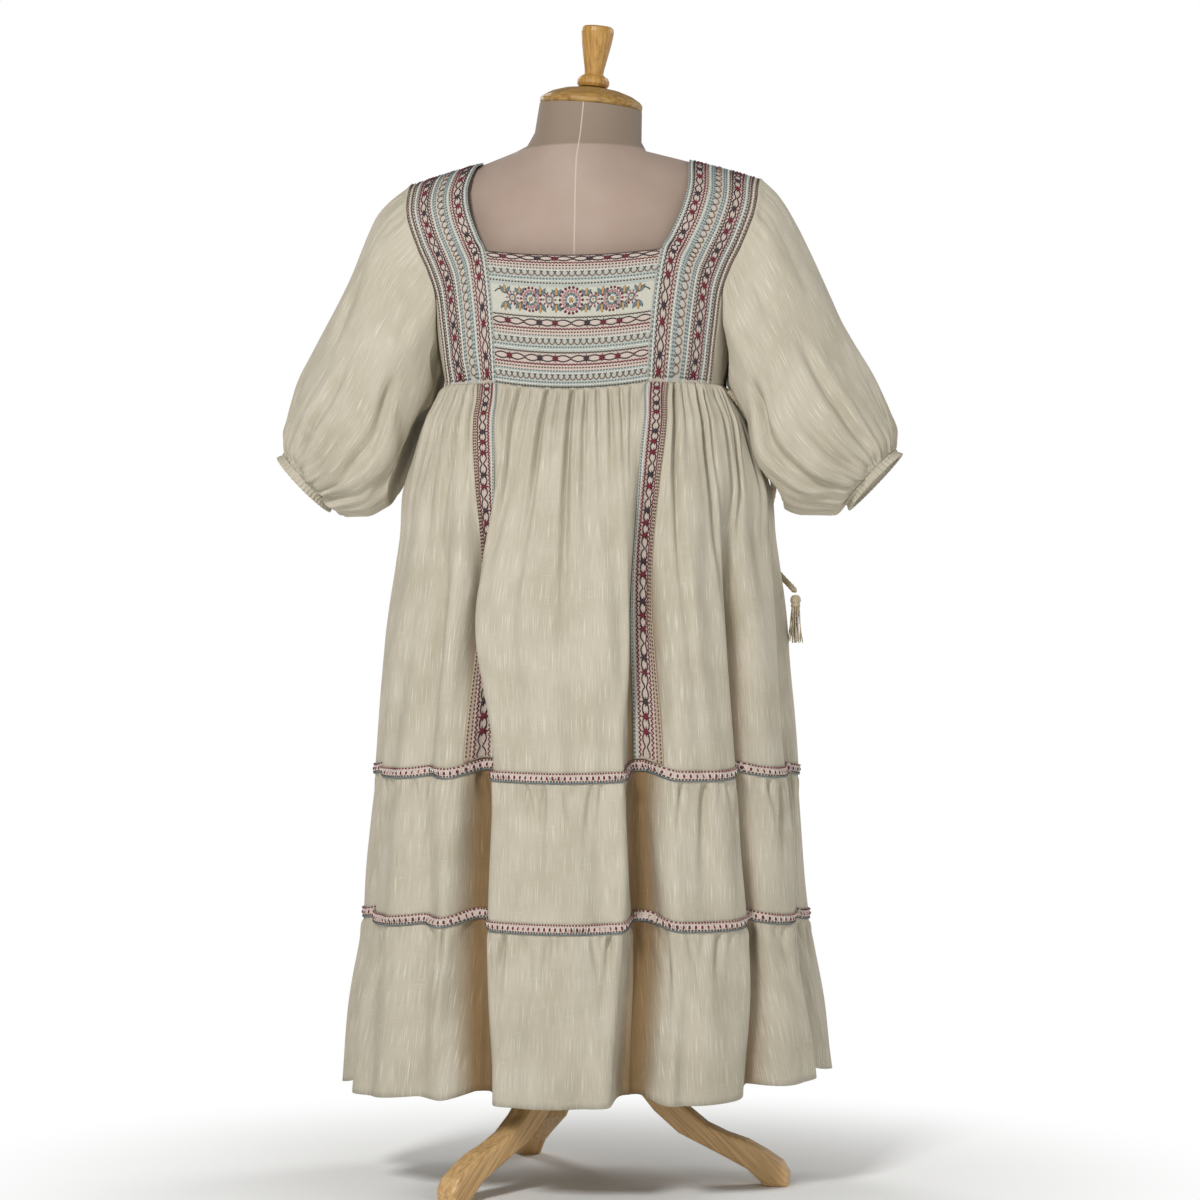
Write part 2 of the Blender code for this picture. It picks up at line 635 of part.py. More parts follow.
def strap_edges(side):
    """Outer and inner edge points of the shoulder band on the +X half, back (-1) or front (1)."""
    outer, inner = [], []
    for ox, od, oz, ix, depth, iz in STRAP:
        for edge, x, d, z in ((outer, ox, od, oz), (inner, ix, depth, iz)):
            bust = BUST * math.exp(-(((z - BUST_HEIGHT) / BUST_REACH) ** 2))
            reach = d if side < 0 else d * FRONT_DEEPER + bust * ease(d / BUST_DEPTH)
            edge.append(Vector((x, side * reach, z)))
    for edge, x in ((outer, STRAP_BOTTOM[0]), (inner, STRAP_BOTTOM[1])):
        edge.append(Vector((x, side * ring_depth(OUTLINE, YOKE_SEAM, x, side), YOKE_SEAM)))
    return outer, inner


def strap_point(outer, inner, station, share):
    """A point across the band, from the inner edge (0) to the outer edge (1), crowned outward."""
    point = inner[station].lerp(outer[station], share)
    crown = STRAP_CROWN * 4 * share * (1 - share)
    if station == len(outer) - 1:
        side = -1 if point.y < 0 else 1
        point.y = side * ring_depth(OUTLINE, YOKE_SEAM, point.x, side)
        return point
    lift = ease(station / CROWN_STATIONS)
    out = Vector((point.x * CROWN_SIDEWAYS, point.y, 0.0)).normalized()
    return point + out * crown * lift + Vector((0, 0, CROWN_RISE * crown * (1 - lift)))


def grid_normals(grid, closed, facing):
    """A normal for each point of a grid, on the side that faces away from a given point."""
    rows, columns = len(grid), len(grid[0])
    ways = []
    for r in range(rows):
        line = []
        for c in range(columns):
            up, down = grid[max(0, r - 1)][c], grid[min(rows - 1, r + 1)][c]
            if closed:
                left, right = grid[r][c - 1], grid[r][(c + 1) % columns]
            else:
                left, right = grid[r][max(0, c - 1)], grid[r][min(columns - 1, c + 1)]
            way = (right - left).cross(down - up).normalized()
            line.append(way if way.dot(grid[r][c] - facing(grid[r][c])) > 0 else -way)
        ways.append(line)
    return ways


def mirrored(grid, sign):
    return [[Vector((sign * p.x, p.y, p.z)) for p in row] for row in grid]


def cloth_panel(name, grid, ways, sign, finish, closed=False):
    inside = [[p - n * CLOTH for p, n in zip(line, way)] for line, way in zip(grid, ways)]
    return wall(name, mirrored(grid, sign), mirrored(inside, sign), finish, closed)


def from_axis(point):
    """The form's middle, a little below the point, so that shoulders face up and out."""
    return Vector((0.0, 0.0, min(point.z, CHEST) - BELOW))


def level(ways):
    """The same normals without their rise, so that a wall's edges stay level."""
    return [[Vector((n.x, n.y, 0.0)).normalized() for n in line] for line in ways]


def share_edge(line_a, at_a, line_b, at_b, flip=1):
    """Give two panels that meet the same normal at a point of their seam."""
    other = Vector((flip * line_b[at_b].x, line_b[at_b].y, line_b[at_b].z))
    way = (line_a[at_a] + other).normalized()
    line_a[at_a] = way
    line_b[at_b] = Vector((flip * way.x, way.y, way.z))


def strap_grid(side):
    outer, inner = strap_edges(side)
    shares = [k / STRAP_SPANS for k in range(STRAP_SPANS + 1)]
    grid = [[strap_point(outer, inner, station, s) for s in shares] for station in range(len(outer))]
    ways = grid_normals(grid, False, from_axis)
    ways[0] = [Vector((n.x, 0.0, n.z)).normalized() for n in ways[0]]
    ways[-1] = level(ways[-1:])[0]
    grid[0] = [p + Vector((0, side * SEAM / 2, 0)) for p in grid[0]]
    return grid, ways


def panel_grid(side):
    """The centre panel between the bands, from the neckline to the yoke seam."""
    inner = strap_edges(side)[1]
    neck = NECK_STATION[side]
    grid = []
    for station in range(neck, len(inner)):
        edge = inner[station]
        low = (station - neck) / (len(inner) - 1 - neck)
        dip = NECK_DIP + (YOKE_DIP - NECK_DIP) * low
        line = []
        for k in range(-PANEL_SPANS // 2, PANEL_SPANS // 2 + 1):
            u = 2 * k / PANEL_SPANS
            x = u * (edge.x - SEAM)
            y = edge.y + side * PANEL_CROWN * (1 - u * u)
            z = edge.z - dip * (1 - u * u)
            if station == len(inner) - 1:
                y = side * ring_depth(OUTLINE, YOKE_SEAM, x, side)
                z = yoke_seam_height(x)
            line.append(Vector((x, y, z)))
        grid.append(line)
    return grid, level(grid_normals(grid, False, from_axis))


def side_grid():
    """The plain panel under the arm, from the back band to the front band."""
    grid = []
    for row in range(SIDE_ROWS + 1):
        line = []
        for k in range(-SIDE_SPANS // 2, SIDE_SPANS // 2 + 1):
            line.append(side_panel_point(2 * k / SIDE_SPANS, row))
        grid.append(line)
    return grid, level(grid_normals(grid, False, from_axis))


def build_bodice():
    under, under_ways = side_grid()
    for side, half, edge in ((-1, "back", 0), (1, "front", -1)):
        strap, strap_ways = strap_grid(side)
        panel, panel_ways = panel_grid(side)
        neck = NECK_STATION[side]
        for row in range(SIDE_ROWS + 1):
            share_edge(strap_ways[NECK_STATION[-1] + row], -1, under_ways[row], edge)
        for row in range(len(panel)):
            share_edge(panel_ways[row], -1, strap_ways[neck + row], 0)
            way = panel_ways[row][-1]
            panel_ways[row][0] = Vector((-way.x, way.y, way.z))
        for sign, hand in ((1, "right"), (-1, "left")):
            cloth_panel(f"strap_{half}_{hand}", strap, strap_ways, sign, STITCHED)
        cloth_panel("yoke_" + half, panel, panel_ways, 1, STITCHED)
    for line in under:
        for edge, beside in ((0, 1), (-1, -2)):
            line[edge] = line[edge] + (line[beside] - line[edge]).normalized() * SEAM
    for sign, hand in ((1, "right"), (-1, "left")):
        cloth_panel("side_bodice_" + hand, under, under_ways, sign, ECRU)


def armhole_edge(count):
    """The armhole of the +X side, once round from the shoulder over the back."""
    loop = []
    for side in (-1, 1):
        outer = strap_edges(side)[0][:NECK_STATION[-1] + 1]
        loop.append(outer + [side_panel_point(side * w, 0) for w in UNDERARM_STEPS])
    bottom = side_panel_point(0.0, 0)
    ring = loop[0] + [bottom] + loop[1][:0:-1]
    return even_loop(ring, count)


def even_loop(ring, count):
    """Points at equal steps round a closed smooth line."""
    fine = []
    for i in range(len(ring)):
        a, b, c, d = (ring[(i + k) % len(ring)] for k in (-1, 0, 1, 2))
        for k in range(LOOP_STEPS):
            fine.append(curve_between(a, b, c, d, k / LOOP_STEPS))
    lengths = [0.0]
    for a, b in zip(fine, fine[1:] + fine[:1]):
        lengths.append(lengths[-1] + (b - a).length)
    points = []
    place = 0
    for k in range(count):
        wanted = lengths[-1] * k / count
        while lengths[place + 1] < wanted:
            place += 1
        part = (wanted - lengths[place]) / (lengths[place + 1] - lengths[place])
        points.append(fine[place].lerp(fine[(place + 1) % len(fine)], part))
    return points


def curve_between(a, b, c, d, u):
    """A point between b and c on a smooth curve that also passes a and d."""
    return 0.5 * (
        2 * b + (c - a) * u + (2 * a - 5 * b + 4 * c - d) * u * u + (3 * b - a - 3 * c + d) * u ** 3
    )


def side_panel_point(across, row):
    """Under the arm: across from the back band (-1) to the front band (1), row by row down."""
    side = -1 if across < 0 else 1
    edge = strap_edges(side)[0][NECK_STATION[-1] + row]
    w = abs(across)
    down = row / SIDE_ROWS
    middle = ARMHOLE_LOW + (YOKE_SEAM - ARMHOLE_LOW) * down
    height = middle + (edge.z - middle) * w ** 3
    if row == SIDE_ROWS:
        return Vector((ring_width(YOKE_SEAM, w * edge.y), w * edge.y, YOKE_SEAM))
    width = UNDERARM_OUT + (OUTLINE[0][1] - UNDERARM_OUT) * down
    return Vector((edge.x + (width - edge.x) * (1 - w * w), w * edge.y, height))


def ring_width(height, depth):
    """How far sideways the outline reaches at a depth."""
    half_width, back, front, square = table_row(OUTLINE, height)
    share = max(0.0, 1 - (abs(depth) / (back if depth < 0 else front)) ** square)
    return half_width * share ** (1.0 / square)


def line_point(line, share):
    """A point at a share of the length of a line of (sideways, height) pairs."""
    lengths = [0.0]
    for a, b in zip(line, line[1:]):
        lengths.append(lengths[-1] + math.dist(a, b))
    stops = [length / lengths[-1] for length in lengths]
    return tuple(between(stops, [p[k] for p in line], share) for k in (0, 1))


def sleeve_ring(share, loop, out):
    """One ring of a sleeve on the +X side, from the armhole (0) to the cuff (1)."""
    top, under = line_point(SLEEVE_TOP, share), line_point(SLEEVE_UNDER, share)
    back, front, forward = (
        between([r[0] for r in SLEEVE_DEPTH], [r[k] for r in SLEEVE_DEPTH], share)
        for k in (1, 2, 3)
    )
    centre = Vector(((top[0] + under[0]) / 2, forward, (top[1] + under[1]) / 2))
    half = Vector(((top[0] - under[0]) / 2, 0.0, (top[1] - under[1]) / 2))
    centre.x += out * ease(share / MOVED_OUT) * (1 - ease((share - MOVED_BACK) / (1 - MOVED_BACK)) / 2)
    ring = []
    for column in range(SLEEVE_COLUMNS):
        turn = 2 * math.pi * column / SLEEVE_COLUMNS
        depth = back if math.sin(turn) > 0 else front
        point = centre + half * math.cos(turn)
        point.y -= depth * math.sin(turn)
        if share < LEFT_ARMHOLE:
            start = loop[column] + ARMHOLE_STEP - sleeve_oval(turn)
            point += start * (1 - ease(share / LEFT_ARMHOLE))
        ring.append(point)
    return ring


def sleeve_oval(turn):
    """The plain oval that stands for the armhole in the sleeve's outline."""
    top, under = SLEEVE_TOP[0], SLEEVE_UNDER[0]
    depth = SLEEVE_DEPTH[0][1] if math.sin(turn) > 0 else SLEEVE_DEPTH[0][2]
    return Vector((
        (top[0] + under[0]) / 2 + (top[0] - under[0]) / 2 * math.cos(turn),
        -depth * math.sin(turn),
        (top[1] + under[1]) / 2 + (top[1] - under[1]) / 2 * math.cos(turn),
    ))


def clear_of_dress(point, share):
    """Keep the sleeve outside the body of the dress."""
    if share == 0.0 or point.z > ARMHOLE_LOW + SLEEVE_FREE:
        return point
    width = ring_width(min(point.z, YOKE_SEAM), point.y) + SLEEVE_CLEAR * ease(share / LEFT_SIDE)
    bodice = ease((point.z - YOKE_SEAM) / (ARMHOLE_LOW - YOKE_SEAM))
    width += (UNDERARM_OUT - OUTLINE[0][1]) * bodice
    return Vector((max(point.x, width), point.y, point.z))


def sleeve_gather(column, share):
    """Waves at the cap and at the cuff, out of the sleeve's wall."""
    turn = 2 * math.pi * column / SLEEVE_COLUMNS
    wave = math.cos(math.pi * column)
    cap = CAP_WAVE * ease(share / CAP_FULL) * math.exp(-((share / CAP_FADE) ** 2))
    top_half = ease(1 - (1 - math.cos(turn)) * CAP_LESS)
    cuff = CUFF_WAVE * ease((share - CUFF_START) / CUFF_GROW) * ease((1.0 - share) / CUFF_END)
    strength = LEAST_WAVE * (1 + uneven(column // 2, 3))
    return wave * strength * (cap * top_half + cuff)


def cuff_grid(last):
    """The casing and the frill below the sleeve's last ring, with their normals."""
    top, under = SLEEVE_TOP[-1], SLEEVE_UNDER[-1]
    across = Vector((top[0] - under[0], 0.0, top[1] - under[1])).normalized()
    onward = Vector((across.z, 0.0, -across.x))
    middle = sum(last, Vector()) / len(last)
    cuff, ways = [], []
    for step, flare in ((SEAM, 0.0), (CUFF_CASING, -CUFF_DRAWN), (CUFF_CASING + CUFF_FRILL, CUFF_FLARE)):
        line = []
        for c, point in enumerate(last):
            out = (point - middle).normalized()
            wave = CUFF_WAVE * math.cos(math.pi * c) if flare > 0 else 0.0
            line.append(point + onward * step + out * (flare + wave))
        cuff.append(line)
        ways.append([(p - middle - onward * (p - middle).dot(onward)).normalized() for p in line])
    return cuff, ways


def build_sleeves():
    loop = armhole_edge(SLEEVE_COLUMNS)
    for sign, hand, out in ((1, "right", 0.0), (-1, "left", LEFT_SLEEVE_OUT)):
        grid = []
        for share in SLEEVE_SHARES:
            grid.append([clear_of_dress(p, share) for p in sleeve_ring(share, loop, out)])
        middles = [sum(line, Vector()) / len(line) for line in grid]
        ways = grid_normals(grid, True, lambda p: min(middles, key=lambda m: (m - p).length))
        shaped = []
        for share, line, way in zip(SLEEVE_SHARES, grid, ways):
            shaped.append([
                p + n * sleeve_gather(c, share) for c, (p, n) in enumerate(zip(line, way))
            ])
        cuff, cuff_ways = cuff_grid(shaped[-1])
        ways[-1] = cuff_ways[0]
        cloth_panel("sleeve_" + hand, shaped, ways, sign, ECRU, closed=True)
        cloth_panel("cuff_" + hand, cuff, cuff_ways, sign, ECRU, closed=True)


def tie_place(angle, height, stands):
    """A point that stands off the skirt's folded cloth by so much."""
    point = folded_point(math.radians(angle), height)
    return point + Vector((point.x, point.y, 0.0)).normalized() * stands


def smooth_route(points, count):
    ends = [2 * points[0] - points[1]] + points + [2 * points[-1] - points[-2]]
    spans = len(points) - 1
    made = []
    for k in range(count):
        place = min(spans - 1e-9, spans * k / (count - 1))
        i = int(place)
        made.append(curve_between(*ends[i:i + 4], place - i))
    return made


def build_tie():
    route = smooth_route([tie_place(*row) for row in TIE_ROUTE], TIE_POINTS)
    curve = bpy.data.curves.new("tie_cord", "CURVE")
    curve.dimensions = "3D"
    spline = curve.splines.new("POLY")
    spline.points.add(len(route) - 1)
    for point, place in zip(spline.points, route):
        point.co = (*place, 1.0)
    curve.bevel_depth = TIE_RADIUS
    curve.bevel_resolution = 2
    curve.use_fill_caps = True
    add_object("tie_cord", curve, CORD_TAN)

    way = (route[-1] - route[-2]).normalized()
    slant = TIE_RADIUS * math.sqrt(1 - way.z ** 2)
    foot = route[-1] - Vector((0.0, 0.0, slant + 2 * SEAM))
    radius, height = TASSEL_HEAD
    built = bmesh.new()
    bmesh.ops.create_grid(built, x_segments=TASSEL_GRID, y_segments=TASSEL_GRID, size=radius)
    strands = list(built.faces)
    edge = [e for e in built.edges if e.is_boundary]
    up = Vector((0, 0, height))
    raised = bmesh.ops.extrude_edge_only(built, edges=edge)["geom"]
    rim = [v for v in raised if isinstance(v, bmesh.types.BMVert)]
    for vert in rim:
        vert.co = vert.co * TASSEL_NECK + up
    cap_edges = [e for e in raised if isinstance(e, bmesh.types.BMEdge)]
    bmesh.ops.holes_fill(built, edges=cap_edges)
    bmesh.ops.inset_individual(built, faces=strands, thickness=SEAM, depth=0.0)
    for step in TASSEL_STEPS:
        drop = TASSEL_LENGTH * step
        made = []
        for face in bmesh.ops.extrude_discrete_faces(built, faces=strands)["faces"]:
            middle = face.calc_center_median()
            out = Vector((middle.x, middle.y, 0.0)) * (TASSEL_SPREAD - 1) * drop / TASSEL_LENGTH
            bmesh.ops.translate(built, verts=face.verts, vec=out - Vector((0, 0, drop)))
            made.append(face)
        strands = made
    bmesh.ops.translate(built, verts=built.verts, vec=foot - up)
    bmesh.ops.recalc_face_normals(built, faces=built.faces)
    mesh = bpy.data.meshes.new("tassel")
    built.to_mesh(mesh)
    built.free()
    add_object("tassel", mesh, CORD_TAN)


def leaned(point):
    """The form's neck turns over to one side above the shoulders."""
    turn, start, full = NECK_LEAN
    turn *= ease((point.z - start) / (full - start))
    rise = point.z - start
    return Vector((
        point.x * math.cos(turn) + rise * math.sin(turn),
        point.y,
        start + rise * math.cos(turn) - point.x * math.sin(turn),
    ))


def build_torso():
    points, faces = [], []
    for height, *_ in TORSO:
        for column in range(TORSO_COLUMNS):
            angle = 2 * math.pi * column / TORSO_COLUMNS
            points.append(leaned(ring_point(TORSO, height, angle)))
    for row in range(len(TORSO) - 1):
        for column in range(TORSO_COLUMNS):
            beside = (column + 1) % TORSO_COLUMNS
            a, b = row * TORSO_COLUMNS + column, row * TORSO_COLUMNS + beside
            faces.append((a, a + TORSO_COLUMNS, b + TORSO_COLUMNS, b))
    faces.append(tuple(range(TORSO_COLUMNS)))
    last = (len(TORSO) - 1) * TORSO_COLUMNS
    faces.append(tuple(last + column for column in reversed(range(TORSO_COLUMNS))))
    closed_mesh("torso", points, faces, FORM_CLOTH)


def turned(name, profile, finish):
    """A piece turned on a lathe: its outline swept once round the form's axis."""
    mesh = bpy.data.meshes.new(name)
    points = [(radius, 0.0, height) for radius, height in profile]
    mesh.from_pydata(points, [(i, i + 1) for i in range(len(points) - 1)], [])
    made = add_object(name, mesh, finish)
    sweep = made.modifiers.new("Turn", "SCREW")
    sweep.steps = TURNED_STEPS
    sweep.render_steps = TURNED_STEPS
    sweep.use_merge_vertices = True
    sweep.merge_threshold = 0.0001
    sweep.use_smooth_shade = True
    return made


def build_stand():
    turn, pivot, _ = NECK_LEAN
    for name, profile in (("neck_cap", NECK_CAP), ("finial", FINIAL)):
        made = turned(name, [(r, z - pivot) for r, z in profile], TURNED_WOOD)
        made.location = (0.0, 0.0, pivot)
        made.rotation_euler = (0.0, turn, 0.0)
    turned("hub", HUB, LEG_WOOD)
    length = FORM_BOTTOM - HUB_TOP - 2 * SEAM
    bpy.ops.mesh.primitive_cylinder_add(
        vertices=TURNED_STEPS, radius=POLE_RADIUS, depth=length,
        location=(0, 0, HUB_TOP + SEAM + length / 2),
    )
    pole = bpy.context.object
    pole.name = "pole"
    pole.data.name = "pole"
    pole.data.materials.append(material("pole_finish", LEG_WOOD))
    for owner in list(pole.users_collection):
        owner.objects.unlink(pole)
    collection.objects.link(pole)
    for number, angle in enumerate(LEG_ANGLES, 1):
        curve = bpy.data.curves.new(f"leg_{number}", "CURVE")
        curve.dimensions = "2D"
        curve.fill_mode = "BOTH"
        curve.extrude = LEG_WIDTH / 2 - LEG_ROUNDING
        curve.bevel_depth = LEG_ROUNDING
        curve.bevel_resolution = 1
        curve.offset = -LEG_ROUNDING
        spline = curve.splines.new("POLY")
        spline.points.add(len(LEG_OUTLINE) - 1)
        for point, (out, height) in zip(spline.points, LEG_OUTLINE):
            point.co = (out, height, 0.0, 1.0)
        spline.use_cyclic_u = True
        leg = add_object(f"leg_{number}", curve, LEG_WOOD)
        leg.rotation_euler = (math.pi / 2, 0.0, math.radians(angle))


for old in list(bpy.data.objects):
    bpy.data.objects.remove(old, do_unlink=True)
collection = bpy.data.collections.new("maxi_dress")
bpy.context.scene.collection.children.link(collection)
build_skirt()
build_bodice()
build_sleeves()
build_tie()
build_torso()
build_stand()
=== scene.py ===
"""A tiered cotton maxi dress with stitched bands, on a limbless dress form with a wooden stand.

Metres, +Z up. The back of the dress, which faces the camera, looks along -Y, and +X is the
wearer's right. Each shell of cloth follows the form of its solid, with finer gathers and creases.
"""

import math

import bmesh
import bpy
import numpy as np
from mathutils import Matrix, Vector


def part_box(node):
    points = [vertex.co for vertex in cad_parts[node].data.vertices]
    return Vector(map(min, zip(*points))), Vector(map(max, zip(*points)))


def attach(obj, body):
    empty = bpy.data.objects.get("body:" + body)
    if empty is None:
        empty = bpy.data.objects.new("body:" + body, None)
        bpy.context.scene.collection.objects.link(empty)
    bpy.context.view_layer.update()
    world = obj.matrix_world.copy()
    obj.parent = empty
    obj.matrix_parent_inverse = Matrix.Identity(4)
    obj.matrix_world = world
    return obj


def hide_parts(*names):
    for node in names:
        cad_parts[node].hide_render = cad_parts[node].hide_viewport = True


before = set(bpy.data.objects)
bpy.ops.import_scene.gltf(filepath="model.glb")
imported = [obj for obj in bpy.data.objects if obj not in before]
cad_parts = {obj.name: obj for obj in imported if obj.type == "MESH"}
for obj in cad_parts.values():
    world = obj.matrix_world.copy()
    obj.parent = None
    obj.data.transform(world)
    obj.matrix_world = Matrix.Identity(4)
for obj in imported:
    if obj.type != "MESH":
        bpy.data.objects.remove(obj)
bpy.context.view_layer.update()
for loaded in bpy.context.selected_objects:
    loaded.select_set(False)


# Camera
# The photograph looks at the back of the dress from a little to the wearer's right, level, from
# about four and a half metres, with the form's axis 14 pixels left of the middle.
PHOTO_SIZE = 1200
CAMERA_TURN = math.radians(8.0)
CAMERA_AWAY = 4.5
CAMERA_HEIGHT = 0.69
PHOTO_FOCUS = 3780
AXIS_LEFT = 14
SENSOR = 36.0

camera_data = bpy.data.cameras.new("camera")
camera = bpy.data.objects.new("camera", camera_data)
bpy.context.scene.collection.objects.link(camera)
bpy.context.scene.camera = camera
camera_data.sensor_width = SENSOR
camera_data.lens = SENSOR * PHOTO_FOCUS / PHOTO_SIZE
towards = Vector((-math.sin(CAMERA_TURN), math.cos(CAMERA_TURN), 0.0))
sideways = Vector((math.cos(CAMERA_TURN), math.sin(CAMERA_TURN), 0.0))
camera.location = (
    -towards * CAMERA_AWAY + sideways * AXIS_LEFT * CAMERA_AWAY / PHOTO_FOCUS
    + Vector((0.0, 0.0, CAMERA_HEIGHT))
)
camera.rotation_euler = towards.to_track_quat("-Z", "Y").to_euler()


# Tie cord and tassel
# A cord of two cotton strands twisted together, about 7 mm thick and 32 cm long, sewn into the
# side seam under the right sleeve. It ends in a small tassel of cut threads bound at the head.
TIE_THICK = 0.0072
TIE_PITCH = 0.016
# The route's points, as in the part's source
TIE_ROUTE = (
    (0.1738, -0.0338, 0.9360), (0.1902, -0.0301, 0.9150), (0.2054, -0.0103, 0.8850),
    (0.2142, 0.0179, 0.8550), (0.2195, 0.0474, 0.8250), (0.2115, 0.0693, 0.7950),
    (0.2042, 0.0771, 0.7600), (0.2195, 0.0709, 0.7280), (0.2477, 0.0271, 0.7000),
)


def linear(hex_colour):
    """An sRGB colour such as C7BFAE, as linear light."""
    values = [int(hex_colour[i:i + 2], 16) / 255 for i in (0, 2, 4)]
    return tuple(v / 12.92 if v <= 0.04045 else ((v + 0.055) / 1.055) ** 2.4 for v in values) + (1.0,)


def add_node(tree, kind, settings=(), links=()):
    """Add a shader node, set its properties and inputs, and link its inputs to other outputs."""
    node = tree.nodes.new(kind)
    for key, value in dict(settings).items():
        if key == "stops":
            elements = node.color_ramp.elements
            while len(elements) < len(value):
                elements.new(1.0)
            for element, (place, colour) in zip(elements, value):
                element.position = place
                element.color = linear(colour)
        elif isinstance(key, str) and hasattr(node, key):
            setattr(node, key, value)
        else:
            node.inputs[key].default_value = value
    for key, output in dict(links).items():
        tree.links.new(output, node.inputs[key])
    return node


def new_material(name, roughness):
    """A material with its Principled shader, its tree ready for a finish."""
    made = bpy.data.materials.new(name)
    made.use_nodes = True
    shader = made.node_tree.nodes["Principled BSDF"]
    shader.inputs["Roughness"].default_value = roughness
    return made, made.node_tree, shader


def mesh_piece(name, points, faces, finish, uv=None):
    """A smooth piece that rides with the part. Its UV pairs are one for each point or face corner."""
    mesh = bpy.data.meshes.new(name)
    mesh.from_pydata(np.asarray(points, float).tolist(), [], [list(map(int, f)) for f in faces])
    if uv is not None:
        uv = np.asarray(uv, float)
        if len(uv) != len(mesh.loops):
            corner = np.empty(len(mesh.loops), dtype=np.int32)
            mesh.loops.foreach_get("vertex_index", corner)
            uv = uv[corner]
        layer = mesh.uv_layers.new(name="cloth")
        layer.data.foreach_set("uv", uv.astype(np.float32).ravel())
    mesh.shade_smooth()
    for material in finish if isinstance(finish, (list, tuple)) else [finish]:
        mesh.materials.append(material)
    piece = bpy.data.objects.new(name, mesh)
    bpy.context.scene.collection.objects.link(piece)
    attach(piece, "root")
    return piece


def grid_faces(rows, columns, closed=False):
    """Quads of a grid whose rows run down and whose columns run round to the right."""
    across = columns if closed else columns - 1
    r, c = np.meshgrid(np.arange(rows - 1), np.arange(across), indexing="ij")
    beside = (c + 1) % columns
    quads = np.stack([r * columns + c, (r + 1) * columns + c, (r + 1) * columns + beside,
                      r * columns + beside], axis=-1)
    return quads.reshape(-1, 4)


def curve_between(a, b, c, d, u):
    """A point between b and c on a smooth curve that also passes a and d."""
    return 0.5 * (2 * b + (c - a) * u + (2 * a - 5 * b + 4 * c - d) * u * u
                  + (3 * b - a - 3 * c + d) * u ** 3)


def route_curve(points, count):
    """Evenly numbered points on a smooth curve through a route, as in the part's source."""
    points = [Vector(p) for p in points]
    ends = [2 * points[0] - points[1]] + points + [2 * points[-1] - points[-2]]
    spans = len(points) - 1
    made = []
    for k in range(count):
        place = min(spans - 1e-9, spans * k / (count - 1))
        i = int(place)
        made.append(curve_between(*ends[i:i + 4], place - i))
    return made


def twisted_tube(route, radius, strands, pitch, around=20):
    """Points and faces of a tube whose outline is that many strands, turning along the route."""
    points, uv = [], []
    travelled = 0.0
    side = Vector((0.0, 1.0, 0.0))
    for i, place in enumerate(route):
        along = (route[min(i + 1, len(route) - 1)] - route[max(i - 1, 0)]).normalized()
        travelled += (place - route[i - 1]).length if i else 0.0
        side = (side - along * side.dot(along)).normalized()
        other = along.cross(side)
        twist = 2 * math.pi * travelled / pitch
        end = min(1.0, 0.55 + 0.45 * min(i, len(route) - 1 - i) / 2)
        for k in range(around):
            turn = 2 * math.pi * k / around
            lobe = abs(math.cos(strands / 2 * (turn - twist / strands * 2)))
            reach = radius * end * (0.80 + 0.22 * lobe)
            points.append(place + (side * math.cos(turn) + other * math.sin(turn)) * reach)
            uv.append((turn * radius, travelled))
    rows = len(route)
    faces = grid_faces(rows, around, closed=True)[:, ::-1].tolist()
    faces.append(list(range(around)))
    faces.append([(rows - 1) * around + k for k in reversed(range(around))])
    return points, faces, uv


# Soft spun cotton cord: matt, with the strands' own fibres across it, spaced about 1 mm
cord_cotton, tree, shader = new_material("twisted_cotton_cord", 0.9)
place = add_node(tree, "ShaderNodeTexCoord")
fibres = add_node(tree, "ShaderNodeTexNoise", {"Scale": 900.0, "Detail": 3.0},
                  {"Vector": place.outputs["Object"]})
spun = add_node(tree, "ShaderNodeValToRGB", {"stops": ((0.32, "857258"), (0.60, "C6B89B"))},
                {"Fac": fibres.outputs["Fac"]})
tree.links.new(spun.outputs["Color"], shader.inputs["Base Color"])
relief = add_node(tree, "ShaderNodeBump", {"Strength": 0.5, "Distance": 0.0006},
                  {"Height": fibres.outputs["Fac"]})
tree.links.new(relief.outputs["Normal"], shader.inputs["Normal"])

tie_route = route_curve(TIE_ROUTE, 200)
points, faces, uv = twisted_tube(tie_route, TIE_THICK / 2, 2, TIE_PITCH)
tie = mesh_piece("tie_twist", points, faces, cord_cotton, uv)

# The tassel's strands hang from a bound head, each a thin bent strip of four sides
STRANDS_ROUND = (1, 8, 14)
STRAND_THICK, STRAND_STEPS = 0.0011, 6
HEAD_TALL, HEAD_ROUND = 0.013, 16
# Radius of each ring of the bound head, and how far down it lies
HEAD_ROWS = ((0.0010, 0.0), (0.0038, 0.0008), (0.0056, 0.0035), (0.0060, 0.0075), (0.0050, 0.0098),
             (0.0046, 0.0108), (0.0054, 0.0118), (0.0052, 0.0142))
tassel_low, tassel_high = (Vector(corner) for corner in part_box("tassel"))
head_middle = (tassel_low + tassel_high) / 2
head_high, head_low = tassel_high.z, tassel_high.z - HEAD_TALL
tassel_points, tassel_faces = [], []


def four_sided(path, thick):
    """Add a thin rod of four sides along a path, closed at both ends."""
    first = len(tassel_points)
    for middle in path:
        for dx, dy in ((-1, -1), (1, -1), (1, 1), (-1, 1)):
            tassel_points.append((middle[0] + dx * thick / 2, middle[1] + dy * thick / 2, middle[2]))
    for row in range(len(path) - 1):
        for k in range(4):
            a, b = first + row * 4 + k, first + row * 4 + (k + 1) % 4
            tassel_faces.append((a, a + 4, b + 4, b))
    last = first + 4 * (len(path) - 1)
    tassel_faces.append((first, first + 1, first + 2, first + 3))
    tassel_faces.append((last + 3, last + 2, last + 1, last))


